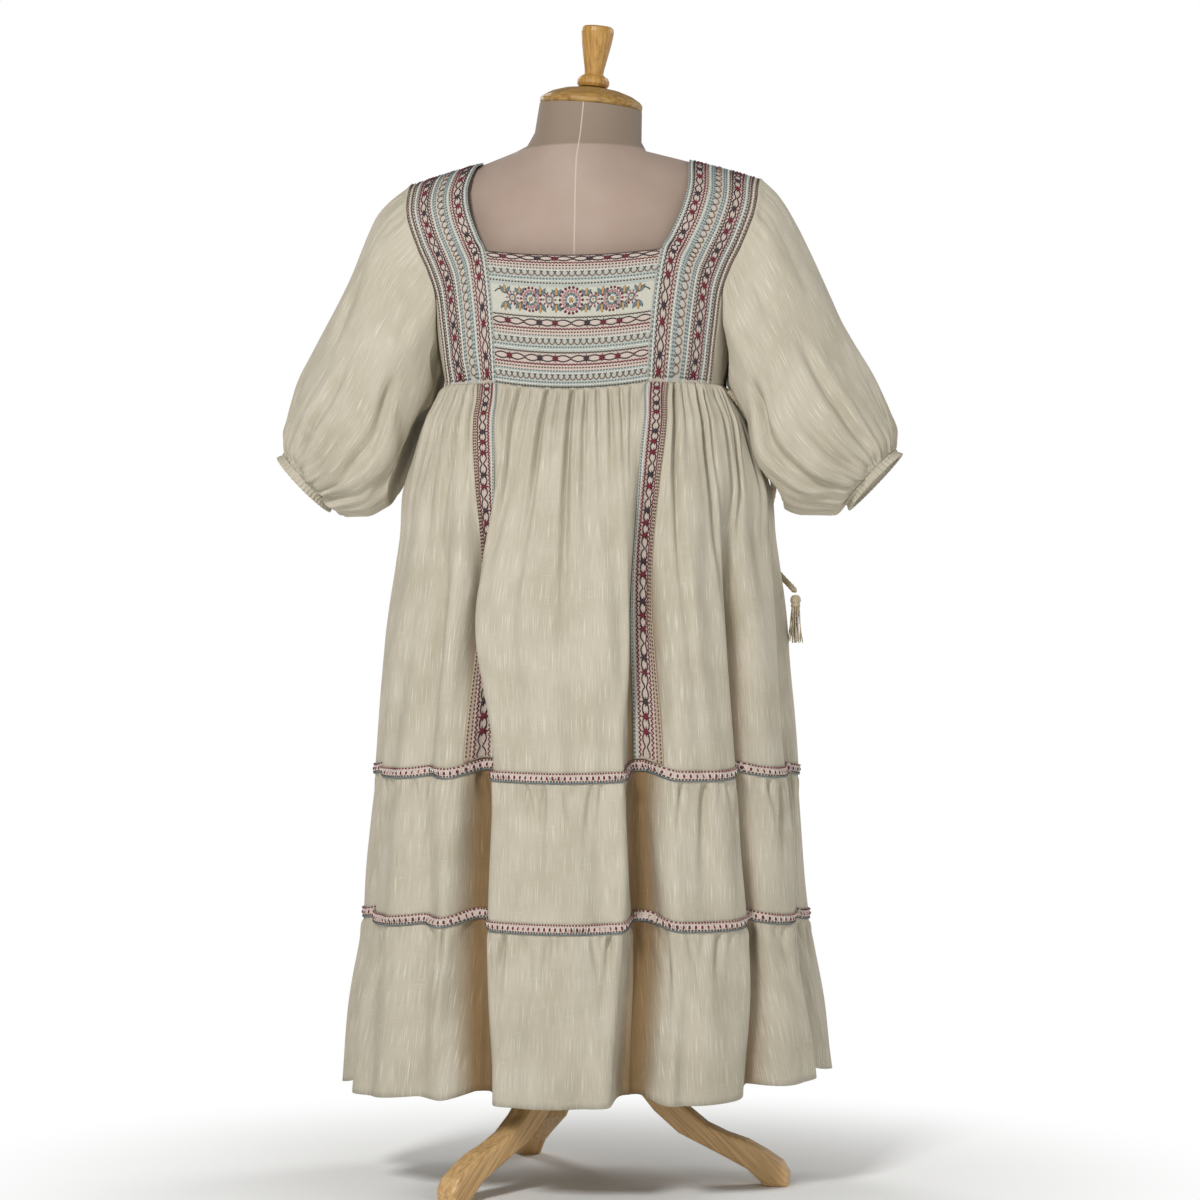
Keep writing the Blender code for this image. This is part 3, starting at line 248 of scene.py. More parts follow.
for ring, number in enumerate(STRANDS_ROUND):
    for k in range(number):
        turn = 2 * math.pi * (k + 0.37 * ring) / number
        spread = 0.0024 * ring
        path = []
        for step in range(STRAND_STEPS + 1):
            down = step / STRAND_STEPS
            sway = 0.0012 * math.sin(5.1 * down + 2.4 * k + ring)
            reach = spread * (0.8 + 0.85 * down) + sway * down
            path.append((
                head_middle.x + reach * math.cos(turn), head_middle.y + reach * math.sin(turn),
                head_low + 0.004 - (head_low + 0.003 - tassel_low.z - 0.002 * ((k * 7) % 3)) * down,
            ))
        four_sided(path, STRAND_THICK)
first = len(tassel_points)
for reach, down in HEAD_ROWS:
    for k in range(HEAD_ROUND):
        turn = 2 * math.pi * k / HEAD_ROUND
        ribbed = reach * (1 + 0.06 * math.cos(8 * turn))
        tassel_points.append((head_middle.x + ribbed * math.cos(turn),
                              head_middle.y + ribbed * math.sin(turn), head_high - down))
tassel_faces += (grid_faces(len(HEAD_ROWS), HEAD_ROUND, closed=True) + first).tolist()
tassel_faces.append([first + k for k in range(HEAD_ROUND)])
last = first + HEAD_ROUND * (len(HEAD_ROWS) - 1)
tassel_faces.append([last + k for k in reversed(range(HEAD_ROUND))])
tassel = mesh_piece("tie_tassel", tassel_points, tassel_faces, cord_cotton)
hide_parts("tassel")
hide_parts("tie_cord")


# Skirt
# Four gathered panels of ecru slub cotton hang from the yoke seam in deep folds. Its shell follows
# the part's own outline and folds, with the real gathers, which are closer than the solids'.
CLOTH, BAND_CLOTH = 0.0010, 0.0008
YOKE_SEAM, YOKE_DIP, YOKE_EDGE = 0.943, 0.008, 0.0896
UPPER_SEAM, LOWER_SEAM, HEM = 0.487, 0.316, 0.114
SEAM_RISE = 0.30
HEM_SHORT = (math.radians(88.0), math.radians(32.0), 0.020)
# height, half width, back depth, front depth, squareness
OUTLINE = np.array((
    (0.943, 0.166, 0.125, 0.131, 2.8), (0.925, 0.177, 0.134, 0.140, 2.6),
    (0.900, 0.192, 0.149, 0.154, 2.4), (0.860, 0.207, 0.165, 0.169, 2.2),
    (0.810, 0.223, 0.179, 0.181, 2.1), (0.770, 0.226, 0.186, 0.187, 2.1),
    (0.737, 0.231, 0.191, 0.192, 2.1), (0.642, 0.247, 0.203, 0.203, 2.1),
    (0.490, 0.258, 0.213, 0.213, 2.1), (0.315, 0.270, 0.223, 0.223, 2.1),
    (0.200, 0.288, 0.234, 0.234, 2.1), (0.110, 0.298, 0.242, 0.242, 2.1),
))
FOLD_HEIGHTS = (0.83, 0.69, 0.50, 0.31, 0.114)
# angles at those heights, depth, half width in degrees, pinch of the lips, lean of the valley
FOLDS = (
    ((66.0, 63.0, 62.0, 63.0, 58.0), 0.040, 6.5, 0.009, -0.004),
    ((90.0, 88.0, 86.0, 85.0, 84.0), 0.026, 5.5, 0.007, 0.003),
    ((113.0, 112.0, 111.0, 110.0, 111.0), 0.030, 6.0, 0.008, 0.005),
    ((132.0, 131.0, 132.0, 134.0, 133.0), 0.024, 5.5, 0.006, -0.003),
    ((153.0, 154.0, 155.0, 153.0, 158.0), 0.044, 6.5, 0.009, 0.005),
    ((181.0, 180.0, 182.0, 184.0, 182.0), 0.022, 6.0, 0.006, 0.003),
    ((207.0, 206.0, 205.0, 206.0, 203.0), 0.044, 6.5, 0.009, -0.005),
    ((231.0, 232.0, 230.0, 229.0, 232.0), 0.028, 6.0, 0.007, 0.004),
    ((254.0, 253.0, 252.0, 251.0, 254.0), 0.034, 6.0, 0.008, 0.004),
    ((281.0, 282.0, 284.0, 285.0, 284.0), 0.030, 6.0, 0.008, -0.004),
    ((311.0, 312.0, 313.0, 313.0, 317.0), 0.018, 6.5, 0.005, 0.002),
)
# The flat valleys that hold strips: side, angles at those heights, depth, half width in degrees,
# how far the valley is drawn out sideways, how far the middle lobe hangs over it at those heights
STRIP_FOLDS = (
    (-1, (32.0, 30.5, 28.0, 28.0, 24.5), 0.044, 6.0, 0.007, (0.0, 0.026, 0.003, 0.0, 0.0)),
    (1, (32.0, 30.0, 28.0, 27.0, 22.5), 0.044, 6.0, 0.0, (0.0, 0.002, 0.0, 0.0, 0.0)),
)
LIP_START, LIP_FULL, LIP_FADE = 0.5, 1.1, 2.5
LOBE_SHARE, LOBE_SPREAD = 0.20, 2.6
FOLD_START, FOLD_FULL = 0.925, 0.640
DRIFT_POWER = 5.5
STRIP_TOP, STRIP_LOW = (0.087, 0.112), (0.0975, 0.1270)
BACK_COLUMNS, SIDE_COLUMNS, STRIP_COLUMNS = 16, 30, 2
COLUMNS = 2 * BACK_COLUMNS + 2 * SIDE_COLUMNS + 4 * STRIP_COLUMNS
FINE = 8
TIER_ROWS = (62, 25, 28)
RING_STEPS, RING_HEIGHT = 240, 0.40
# Single creases below the yoke seam, listed one by one: column, wander in columns, depth, half width
# in columns, length
YOKE_CREASES = (
    (1.1, -0.2, 0.0066, 0.17, 0.0825), (2.3, -0.9, 0.00935, 0.19, 0.15),
    (3.7, -0.5, 0.0055, 0.16, 0.075), (5.4, -0.3, 0.01155, 0.21, 0.18), (6.7, 0.2, 0.0055, 0.16, 0.09),
    (8.3, 0.1, 0.0121, 0.21, 0.2025), (9.8, 0.2, 0.0077, 0.17, 0.1125), (11.1, 0.4, 0.0066, 0.17, 0.09),
    (12.4, 0.3, 0.0077, 0.17, 0.105), (13.6, 0.3, 0.0066, 0.17, 0.0825),
    (14.7, 0.1, 0.0055, 0.16, 0.06), (19.0, 0.9, 0.011, 0.22, 0.255), (20.1, 0.5, 0.0044, 0.17, 0.075),
    (22.2, 1.0, 0.01045, 0.22, 0.225), (23.1, 0.5, 0.00495, 0.17, 0.09),
    (25.3, 0.4, 0.0077, 0.20, 0.15), (97.3, -0.6, 0.0088, 0.20, 0.1275),
    (96.0, -1.2, 0.0099, 0.20, 0.1575), (94.4, -0.8, 0.00715, 0.18, 0.12),
    (92.7, -0.5, 0.0066, 0.18, 0.0975), (91.0, -0.4, 0.0077, 0.19, 0.1125),
)
PLACED_FROM, PLACED_TO = 90.2, 25.8
# The coarse and the fine gathers of each tier: spacing in columns, depth, half width in columns,
# shortest and longest, salt
GATHERS = (
    ((1.25, 0.0100, 0.18, (0.050, 0.200), 2), (0.74, 0.0026, 0.14, (0.015, 0.050), 9)),
    ((1.05, 0.0068, 0.19, (0.030, 0.120), 3), (0.62, 0.0034, 0.14, (0.012, 0.040), 5)),
    ((1.05, 0.0068, 0.19, (0.030, 0.120), 6), (0.62, 0.0034, 0.14, (0.012, 0.040), 10)),
)
# Below its seam each tier's cloth starts flat: how far down gathers begin, and are full
GATHER_START = ((-0.001, 0.006), (0.004, 0.016), (0.004, 0.016))
RIPPLE_SIZE, RIPPLE_FULL = (0.0022, 0.0024, 0.0024), 0.12
# Slow waves round the skirt: number, share, phase, and their sway with its waves up and round
RIPPLES = ((17, 1.0, 0.0, 2.1, 9, 3), (29, 0.7, 1.3, 1.7, 13, -5), (43, 0.5, 0.4, 2.6, 7, 2))
ROW_CLOSING = 1.25


def smooth(stops, values, place):
    """A smooth value at each place between rising or falling stops, never past its neighbours."""
    x, y = np.asarray(stops, float), np.asarray(values, float)
    if x[0] > x[-1]:
        x, y = x[::-1], y[::-1]
    step = np.diff(y) / np.diff(x)
    product = step[:-1] * step[1:]
    slope = np.concatenate([step[:1], np.zeros(len(x) - 2), step[-1:]])
    turning = product > 0
    slope[1:-1][turning] = (2 * product / np.where(turning, step[:-1] + step[1:], 1.0))[turning]
    place = np.clip(place, x[0], x[-1])
    k = np.clip(np.searchsorted(x, place, side="right") - 1, 0, len(x) - 2)
    span = x[k + 1] - x[k]
    u = (place - x[k]) / span
    return ((1 + 2 * u) * (1 - u) ** 2 * y[k] + u * (1 - u) ** 2 * span * slope[k]
            + u * u * (3 - 2 * u) * y[k + 1] + u * u * (u - 1) * span * slope[k + 1])


def ease(share):
    share = np.clip(share, 0.0, 1.0)
    return share * share * (3 - 2 * share)


def degrees_past(degrees, middle):
    """How far an angle lies past another, the short way round."""
    return (degrees - middle + 180.0) % 360.0 - 180.0


def uneven(number, salt):
    """A fixed share from 0 to 1 that differs from one gather to the next."""
    return (np.asarray(number) * 0.6180339 + salt * 0.2718281) % 1.0


def outline_row(height):
    return [smooth(OUTLINE[:, 0], OUTLINE[:, k], height) for k in range(1, 5)]


def outline_radius(angle, height):
    half_width, back, front, square = outline_row(height)
    depth = np.where(np.cos(angle) > 0, back, front)
    across = (np.abs(np.sin(angle)) / half_width) ** square
    return (across + (np.abs(np.cos(angle)) / depth) ** square) ** (-1.0 / square)


def outline_depth(height, sideways, side):
    """How far back (-1) or front (1) the outline reaches at a distance from the middle."""
    half_width, back, front, square = outline_row(height)
    share = np.maximum(0.0, 1 - (np.abs(sideways) / half_width) ** square)
    return (back if side < 0 else front) * share ** (1.0 / square)


def fold_shift(angle, height):
    """Inward depth and sideways slide that all the folds give at an angle and height."""
    grown = ease((FOLD_START - height) / (FOLD_START - FOLD_FULL))
    inward = slide = 0.0
    for angles, depth, width, pinch, lean in FOLDS:
        middle = smooth(FOLD_HEIGHTS, angles, height)
        u = degrees_past(np.degrees(angle), middle) / width
        valley = np.exp(-u * u)
        lobe = np.exp(-((u / LOBE_SPREAD) ** 2))
        inward = inward + depth * grown * ((1 - LOBE_SHARE) * valley + LOBE_SHARE * lobe)
        slide = slide + grown * (lean * valley - pinch * u * np.exp(0.5 - 0.5 * u * u))
    for side, angles, depth, width, drawn, overhangs in STRIP_FOLDS:
        middle = side * smooth(FOLD_HEIGHTS, angles, height)
        u = degrees_past(np.degrees(angle), middle) / width
        lobe = np.exp(-((u / LOBE_SPREAD) ** 2))
        inward = inward + depth * grown * ((1 - LOBE_SHARE) * np.exp(-u ** 4) + LOBE_SHARE * lobe)
        past = -side * u
        lip = ease((past - LIP_START) / (LIP_FULL - LIP_START))
        lip = lip * np.exp(-((np.maximum(0.0, past - LIP_FULL) / LIP_FADE) ** 2))
        over = smooth(FOLD_HEIGHTS, overhangs, height)
        slide = slide + side * grown * (drawn * lobe + over * lip)
    return inward, slide


def folded(angle, height):
    """Points of the skirt with its folds and without its gathers."""
    inward, slide = fold_shift(angle, height)
    radius = outline_radius(angle, height) - inward
    turned = angle + slide / radius
    return np.stack([radius * np.sin(turned), -radius * np.cos(turned), height], axis=-1)


def column_stops():
    """Each whole column's angle at the yoke and in the tiers, from the back's left strip round."""
    turn = 2 * math.pi
    edge = {}
    for side in (-1, 1):
        for level, reach in ((YOKE_SEAM, STRIP_TOP), (UPPER_SEAM, STRIP_LOW)):
            for k, x in enumerate(reach):
                edge[side, level, k] = math.atan2(x, -side * float(outline_depth(level, x, side)))
    order = ((-1, 0, -1), (-1, 0, 1), (-1, 1, 1), (1, 1, 1), (1, 0, 1), (1, 0, 0), (1, 1, 0),
             (-1, 1, 0), (-1, 0, 0))
    counts = (BACK_COLUMNS, STRIP_COLUMNS, SIDE_COLUMNS, STRIP_COLUMNS, BACK_COLUMNS, STRIP_COLUMNS,
              SIDE_COLUMNS, STRIP_COLUMNS)

    def stop(level, side, k, sign):
        angle = edge[side, level, k]
        return {-1: -angle, 1: angle, 0: turn - angle}[sign]

    top, low = [], []
    for number, (a, b) in zip(counts, zip(order, order[1:])):
        top_a, top_b = (stop(YOKE_SEAM, *place) for place in (a, b))
        low_a, low_b = (stop(UPPER_SEAM, *place) for place in (a, b))
        shares = np.arange(number) / number
        top += list(top_a + (top_b - top_a) * shares)
        fine = low_a + (low_b - low_a) * np.arange(RING_STEPS + 1) / RING_STEPS
        ring = folded(fine, np.full(RING_STEPS + 1, RING_HEIGHT))
        steps = np.linalg.norm(np.diff(ring, axis=0), axis=1)
        lengths = np.concatenate([[0.0], np.cumsum(steps)])
        low += list(np.interp(lengths[-1] * shares, lengths, fine))
    return np.array(top + [top[0] + turn]), np.array(low + [low[0] + turn])


top_stops, low_stops = column_stops()


def column_angle(column, height):
    """The angle of a column, whole or not, at a height."""
    lap, within = np.floor(column / COLUMNS), column % COLUMNS
    stops = np.arange(COLUMNS + 1)
    low = np.interp(within, stops, low_stops) + lap * 2 * math.pi
    top = np.interp(within, stops, top_stops) + lap * 2 * math.pi
    fallen = np.clip((height - UPPER_SEAM) / (YOKE_SEAM - UPPER_SEAM), 0.0, 1.0)
    return low + (top - low) * fallen ** DRIFT_POWER


def plan_normals(points):
    """Level normals of a grid's rows, outward."""
    along = np.gradient(points, axis=1)
    way = np.stack([along[..., 1], -along[..., 0], np.zeros_like(along[..., 0])], axis=-1)
    return way / np.linalg.norm(way, axis=-1, keepdims=True)


def crease(column, drop, middle, wander, depth, half, length):
    """One crease that springs from a seam: a narrow trough between two low ridges."""
    fallen = np.maximum(drop, 0.0) / length
    at = middle + wander * np.minimum(fallen, 2.0)
    away = np.abs((column - at + COLUMNS / 2) % COLUMNS - COLUMNS / 2)
    fade = np.exp(-(fallen ** 1.8))
    wide = half * (1 + 0.9 * fallen)
    trough = np.exp(-((away / wide) ** 2))
    ridge = np.exp(-(((away - 2.4 * half) / (1.4 * half)) ** 2))
    return depth * fade * (0.28 * ridge - trough)


def gathers(column, drop, spacing, depth, half, reach, salt, bare_from=None, bare_to=None):
    """Creases all round below a seam, uneven in place, depth and length."""
    lift = np.zeros_like(drop)
    for number in range(int(round(COLUMNS / spacing))):
        middle = (number + 0.7 * (uneven(number, salt) - 0.5)) * spacing
        if bare_from is not None and (middle > bare_from or middle < bare_to):
            continue
        lift += crease(
            column, drop, middle, spacing * (uneven(number, salt + 4) - 0.5),
            depth * (0.20 + 1.25 * uneven(number, salt + 3) ** 1.5),
            half * (0.8 + 0.6 * uneven(number, salt + 1)),
            reach[0] + (reach[1] - reach[0]) * uneven(number, salt + 2) ** 2,
        )
    return lift


def ripple(column, height, size):
    """The slow unevenness of hanging cloth, up and down the tiers."""
    turn = 2 * math.pi * column / COLUMNS
    return size * sum(
        share * np.sin(waves * turn + phase + sway * np.sin(up * height + around * turn))
        for waves, share, phase, sway, up, around in RIPPLES
    )


def tier_heights(low_angle):
    """The yoke seam, both tier seams and the hem, at each angle."""
    rise = [SEAM_RISE * fold_shift(low_angle, np.full_like(low_angle, z))[0]
            for z in (UPPER_SEAM, LOWER_SEAM, HEM)]
    middle, reach, short = HEM_SHORT
    turn = (low_angle - middle + math.pi) % (2 * math.pi) - math.pi
    return (UPPER_SEAM + rise[0], LOWER_SEAM + rise[1],
            HEM + rise[2] + short * np.exp(-((turn / reach) ** 2)))


def head_height(column):
    angle = column_angle(column, np.full_like(column, YOKE_SEAM))
    sideways = outline_radius(angle, np.full_like(column, YOKE_SEAM)) * np.sin(angle)
    return YOKE_SEAM - YOKE_DIP * np.maximum(0.0, 1 - (sideways / YOKE_EDGE) ** 2)


def skirt_grid(start, end, tier, rows=None):
    """Points, normals and each point's share of the painted fold shade, for a stretch of a tier from
    one column to another.
    """
    count = int(round((end - start) * FINE)) + 1
    column = np.linspace(start, end, count)
    seams = (head_height(column),) + tier_heights(column_angle(column, np.full_like(column, 0.3)))
    high, low = seams[tier], seams[tier + 1]
    share = np.linspace(0.0, 1.0, rows or TIER_ROWS[tier])[:, None] ** ROW_CLOSING
    height = high + (low - high) * share
    column = np.broadcast_to(column, height.shape)
    drop = high - height
    bare = folded(column_angle(column, height), height)
    coarse, fine = GATHERS[tier]
    placed = (PLACED_FROM, PLACED_TO) if tier == 0 else ()
    lift = gathers(column, drop, *coarse, *placed) + gathers(column, drop, *fine)
    waves = ripple(column, height, RIPPLE_SIZE[tier])
    if tier == 0:
        for middle, wander, depth, half, length in YOKE_CREASES:
            lift += crease(column, drop, middle, wander, depth, half, length)
        waves = waves * ease(drop / RIPPLE_FULL)
    begun, full = GATHER_START[tier]
    lift = (lift + waves) * ease((drop - begun) / (full - begun))
    points = bare + plan_normals(bare) * lift[..., None]
    # How deep each point lies in the folds, which sets the cloth's painted shade there
    fold_shade_depth = fold_shift(column_angle(column, height), height)[0] / STRIP_FOLDS[0][2]
    return points, plan_normals(points), np.clip(fold_shade_depth, 0.0, 1.0)


def cloth_lengths(points):
    """For each point of a grid, how far it lies across and down its cloth, in metres."""
    across = np.linalg.norm(np.diff(points, axis=1), axis=2)
    down = np.linalg.norm(np.diff(points, axis=0), axis=2)
    u = np.concatenate([np.zeros((len(points), 1)), np.cumsum(across, axis=1)], axis=1)
    widest = u[:, -1].max()
    u = u * 0 + np.linspace(0.0, widest, points.shape[1])
    v = np.concatenate([np.zeros((1, points.shape[1])), np.cumsum(down, axis=0)], axis=0)
    return u, v


def cloth_piece(name, points, finish, nodes, thick=CLOTH,
                uv=None, in_fold=None, closed=False):
    """A shell of cloth from a grid of points on its outside, with UVs in metres of cloth.

    The last column of a closed grid lies on its first, and isn't made twice.
    """
    u, v = cloth_lengths(points)
    pair = np.stack([u, v], axis=-1) if uv is None else uv
    rows = len(points)
    corners = np.stack([pair[:-1, :-1], pair[1:, :-1], pair[1:, 1:], pair[:-1, 1:]], axis=2)
    kept = points[:, :-1] if closed else points
    piece = mesh_piece(name, kept.reshape(-1, 3), grid_faces(rows, kept.shape[1], closed), finish,
                       corners.reshape(-1, 2))
    # Fold depth as a point attribute, which the cloth's material turns into painted shade
    if in_fold is not None:
        layer = piece.data.attributes.new("in_fold", "FLOAT", "POINT")
        layer.data.foreach_set("value", in_fold.ravel().astype(np.float32))
    wall = piece.modifiers.new("Thickness", "SOLIDIFY")
    wall.thickness = thick
    wall.offset = -1.0
    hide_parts(*nodes)
    return piece


# The second colour is the warm brown of the painted shade deep in the folds
THIN_YARN, PAINTED_FOLD_SHADE = "A0977E", "A68350"
# Yarns in a metre of cloth across the warp and along it, and the same for the weft
WARP_SCALE, WEFT_SCALE = (1050.0, 26.0, 1.0), (40.0, 700.0, 1.0)


def slub_cotton(name, light, dark, streak):
    """Hand-loomed slub cotton: matt, with thick and thin yarns that show as streaks, and painted shade
    deep in its folds.

    Yarns are 0.5 mm apart, too fine to show, so the weave is drawn at 1.4 mm. Slubs are lighter
    streaks 1 to 2 mm wide and 1 to 5 cm long, mostly along the warp.
    """
    made, tree, shader = new_material(name, 0.92)
    cloth = add_node(tree, "ShaderNodeUVMap", {"uv_map": "cloth"})
    warp = add_node(tree, "ShaderNodeMapping", {"Scale": WARP_SCALE},
                    {"Vector": cloth.outputs["UV"]})
    weft = add_node(tree, "ShaderNodeMapping", {"Scale": WEFT_SCALE},
                    {"Vector": cloth.outputs["UV"]})
    slubs = add_node(tree, "ShaderNodeTexNoise", {"Scale": 1.0, "Detail": 1.0},
                     {"Vector": warp.outputs["Vector"]})
    picks = add_node(tree, "ShaderNodeTexNoise", {"Scale": 1.0, "Detail": 2.0},
                     {"Vector": weft.outputs["Vector"]})
    cloud = add_node(tree, "ShaderNodeTexNoise", {"Scale": 14.0, "Detail": 3.0},
                     {"Vector": cloth.outputs["UV"]})
    base = add_node(tree, "ShaderNodeValToRGB", {"stops": ((0.35, dark), (0.65, light))},
                    {"Fac": cloud.outputs["Fac"]})
    # Slubs of the warp, thick picks of the weft and thin yarns, each over the one before
    colour = base.outputs["Color"]
    for noise, begun, full, strength, yarn in (
            (slubs, 0.58, 0.74, 0.8, streak), (picks, 0.60, 0.80, 0.35, streak),
            (slubs, 0.44, 0.28, 0.4, THIN_YARN)):
        share = add_node(tree, "ShaderNodeMapRange",
                         {"From Min": begun, "From Max": full, "To Max": strength},
                         {"Value": noise.outputs["Fac"]})
        layer = add_node(tree, "ShaderNodeMix", {"data_type": "RGBA", 7: linear(yarn)},
                         {0: share.outputs["Result"], 6: colour})
        colour = layer.outputs[2]
    # Deep in a fold the colour is painted darker and warmer: painted shade, with the warm tone of light
    # passed through the cloth
    fold = add_node(tree, "ShaderNodeAttribute", {"attribute_name": "in_fold"})
    fold_shade_share = add_node(tree, "ShaderNodeMapRange", {"From Min": 0.50, "From Max": 1.0, "To Max": 0.90},
                      {"Value": fold.outputs["Fac"]})
    fold_shaded = add_node(tree, "ShaderNodeMix",
                      {"data_type": "RGBA", "blend_type": "MULTIPLY", 7: linear(PAINTED_FOLD_SHADE)},
                      {0: fold_shade_share.outputs["Result"], 6: colour})
    tree.links.new(fold_shaded.outputs[2], shader.inputs["Base Color"])
    height = add_node(tree, "ShaderNodeMath", {"operation": "ADD"},
                      {0: slubs.outputs["Fac"], 1: picks.outputs["Fac"]})
    relief = add_node(tree, "ShaderNodeBump", {"Strength": 0.35, "Distance": 0.0006},
                      {"Height": height.outputs["Value"]})
    tree.links.new(relief.outputs["Normal"], shader.inputs["Normal"])
    return made


ecru = slub_cotton("ecru_slub_cotton", "BDB5A3", "B1A995", "D9D4C5")

half_strip = STRIP_COLUMNS // 2
front_start = BACK_COLUMNS + SIDE_COLUMNS + 2 * STRIP_COLUMNS
front_end = front_start + BACK_COLUMNS
for name, start, end in (
    ("skirt_back", -half_strip, BACK_COLUMNS + half_strip),
    ("skirt_right", BACK_COLUMNS + half_strip, front_start - half_strip),
    ("skirt_front", front_start - half_strip, front_end + half_strip),
    ("skirt_left", front_end + half_strip, COLUMNS - half_strip),
):
    points, normals, in_fold = skirt_grid(start, end, 0)
    cloth_piece(name + "_cloth", points, ecru, [name], in_fold=in_fold)


# Lower tiers
# Two more gathered lengths of the same cotton, each cut as a back and a front half and seamed at
# the sides. Each is gathered to the edge of the tier above it.
side_column = (COLUMNS - 2 * BACK_COLUMNS) // 4 + BACK_COLUMNS
halves = (("back", side_column - COLUMNS // 2, side_column),
          ("front", side_column, side_column + COLUMNS // 2))
for half, start, end in halves:
    for tier, name in ((1, "middle_tier_"), (2, "lower_tier_")):
        points, normals, in_fold = skirt_grid(start, end, tier)
        cloth_piece(name + half + "_cloth", points, ecru, [name + half],
                    in_fold=in_fold)


# Shoulder bands, centre panels and side panels
# The bodice is cut from the same cotton. A wide stitched band runs over each shoulder from yoke
# seam to yoke seam, with a stitched panel between them and a plain panel under each arm.
# outer edge: sideways, depth, height; inner edge: sideways, depth, height
STRAP = np.array((
    (0.2080, 0.000, 1.188, 0.1240, 0.000, 1.212), (0.2085, 0.030, 1.176, 0.1275, 0.036, 1.202),
    (0.2060, 0.052, 1.145, 0.1306, 0.070, 1.175), (0.1920, 0.060, 1.106, 0.1255, 0.088, 1.146),
    (0.1785, 0.064, 1.077, 0.1130, 0.098, 1.115), (0.1690, 0.065, 1.047, 0.1045, 0.104, 1.098),
    (0.1645, 0.065, 1.012, 0.0972, 0.111, 1.052), (0.1605, 0.064, 0.978, 0.0925, 0.115, 0.998),
))
STRAP_BOTTOM = (0.157, 0.0896)
STRAP_CROWN = 0.005
FRONT_DEEPER, BUST, BUST_HEIGHT, BUST_REACH = 1.05, 0.010, 1.02, 0.055
NECK_STATION = {-1: 5, 1: 6}
NECK_DIP, PANEL_CROWN = 0.007, 0.008
LAST_STATION = 8
# Stations over which a shoulder band's crown grows, and over which both edges settle on the seam
CROWN_STATIONS, SEAM_STATIONS = 3.0, 0.8
ARMHOLE_LOW, UNDERARM_OUT, SIDE_ROWS = 0.985, 0.1735, 3


def along_stations(points, station):
    """Points at whole or part stations on a smooth line through the whole ones."""
    ends = np.vstack([2 * points[0] - points[1], points, 2 * points[-1] - points[-2]])
    k = np.clip(np.floor(station).astype(int), 0, len(points) - 2)
    u = (station - k)[..., None]
    return curve_between(ends[k], ends[k + 1], ends[k + 2], ends[k + 3], u)


def strap_edges(side):
    """Outer and inner edge points of the +X shoulder band, back (-1) or front (1)."""
    edges = []
    for x, d, z in (STRAP[:, :3].T, STRAP[:, 3:].T):
        bust = BUST * np.exp(-(((z - BUST_HEIGHT) / BUST_REACH) ** 2))
        reach = d if side < 0 else d * FRONT_DEEPER + bust * ease(d / 0.06)
        edges.append(np.stack([x, side * reach, z], axis=-1))
    for k, x in enumerate(STRAP_BOTTOM):
        foot = (x, side * float(outline_depth(YOKE_SEAM, x, side)), YOKE_SEAM)
        edges[k] = np.vstack([edges[k], foot])
    return edges


def grid_normals(points, closed=False):
    """Unit normals of a grid, outward for rows that run down and columns that run right."""
    if closed:
        wrapped = np.concatenate([points[:, -1:], points, points[:, :1]], axis=1)
        across = (wrapped[:, 2:] - wrapped[:, :-2])
    else:
        across = np.gradient(points, axis=1)
    way = np.cross(np.gradient(points, axis=0), across)
    return way / np.maximum(np.linalg.norm(way, axis=-1, keepdims=True), 1e-12)


def strap_grid(side, sign, rows=72, columns=25):
    """The band on the side given by sign, its rows from the shoulder down, columns to the right."""
    outer, inner = strap_edges(side)
    station = np.linspace(0.0, LAST_STATION, rows)
    out, in_ = along_stations(outer, station), along_stations(inner, station)
    share = np.linspace(0.0, 1.0, columns)[None, :, None]
    points = in_[:, None] + (out - in_)[:, None] * share
    crown = STRAP_CROWN * 4 * share * (1 - share)
    grown = ease(station / CROWN_STATIONS)[:, None, None]
    lift = grown * ease((LAST_STATION - station) / SEAM_STATIONS)[:, None, None]
    way = points * np.array((0.35, 1.0, 0.0))
    way = way / np.maximum(np.linalg.norm(way, axis=-1, keepdims=True), 1e-9)
    top = np.array((0.0, 0.0, 0.2)) * crown * (1 - grown)
    points = points + way * crown * lift + top
    points[-1, :, 1] = side * outline_depth(YOKE_SEAM, points[-1, :, 0], side)
    points[..., 0] *= sign
    if sign * side > 0:
        points = points[:, ::-1]
    return points


def panel_grid(side, rows=44, columns=61):
    inner = strap_edges(side)[1]
    station = np.linspace(NECK_STATION[side], LAST_STATION, rows)
    edge = along_stations(inner, station)[:, None]
    low = ((station - NECK_STATION[side]) / (LAST_STATION - NECK_STATION[side]))[:, None]
    u = np.linspace(-1.0, 1.0, columns)[None]
    x = u * (edge[..., 0] - 0.0003)
    full = ease((LAST_STATION - station) / SEAM_STATIONS)[:, None]
    y = edge[..., 1] + side * PANEL_CROWN * (1 - u * u)
    y = y * full + side * outline_depth(YOKE_SEAM, x, side) * (1 - full)
    z = edge[..., 2] - (NECK_DIP + (YOKE_DIP - NECK_DIP) * low) * (1 - u * u)
    points = np.stack([x, y, z], axis=-1)
    return points if side < 0 else points[:, ::-1]


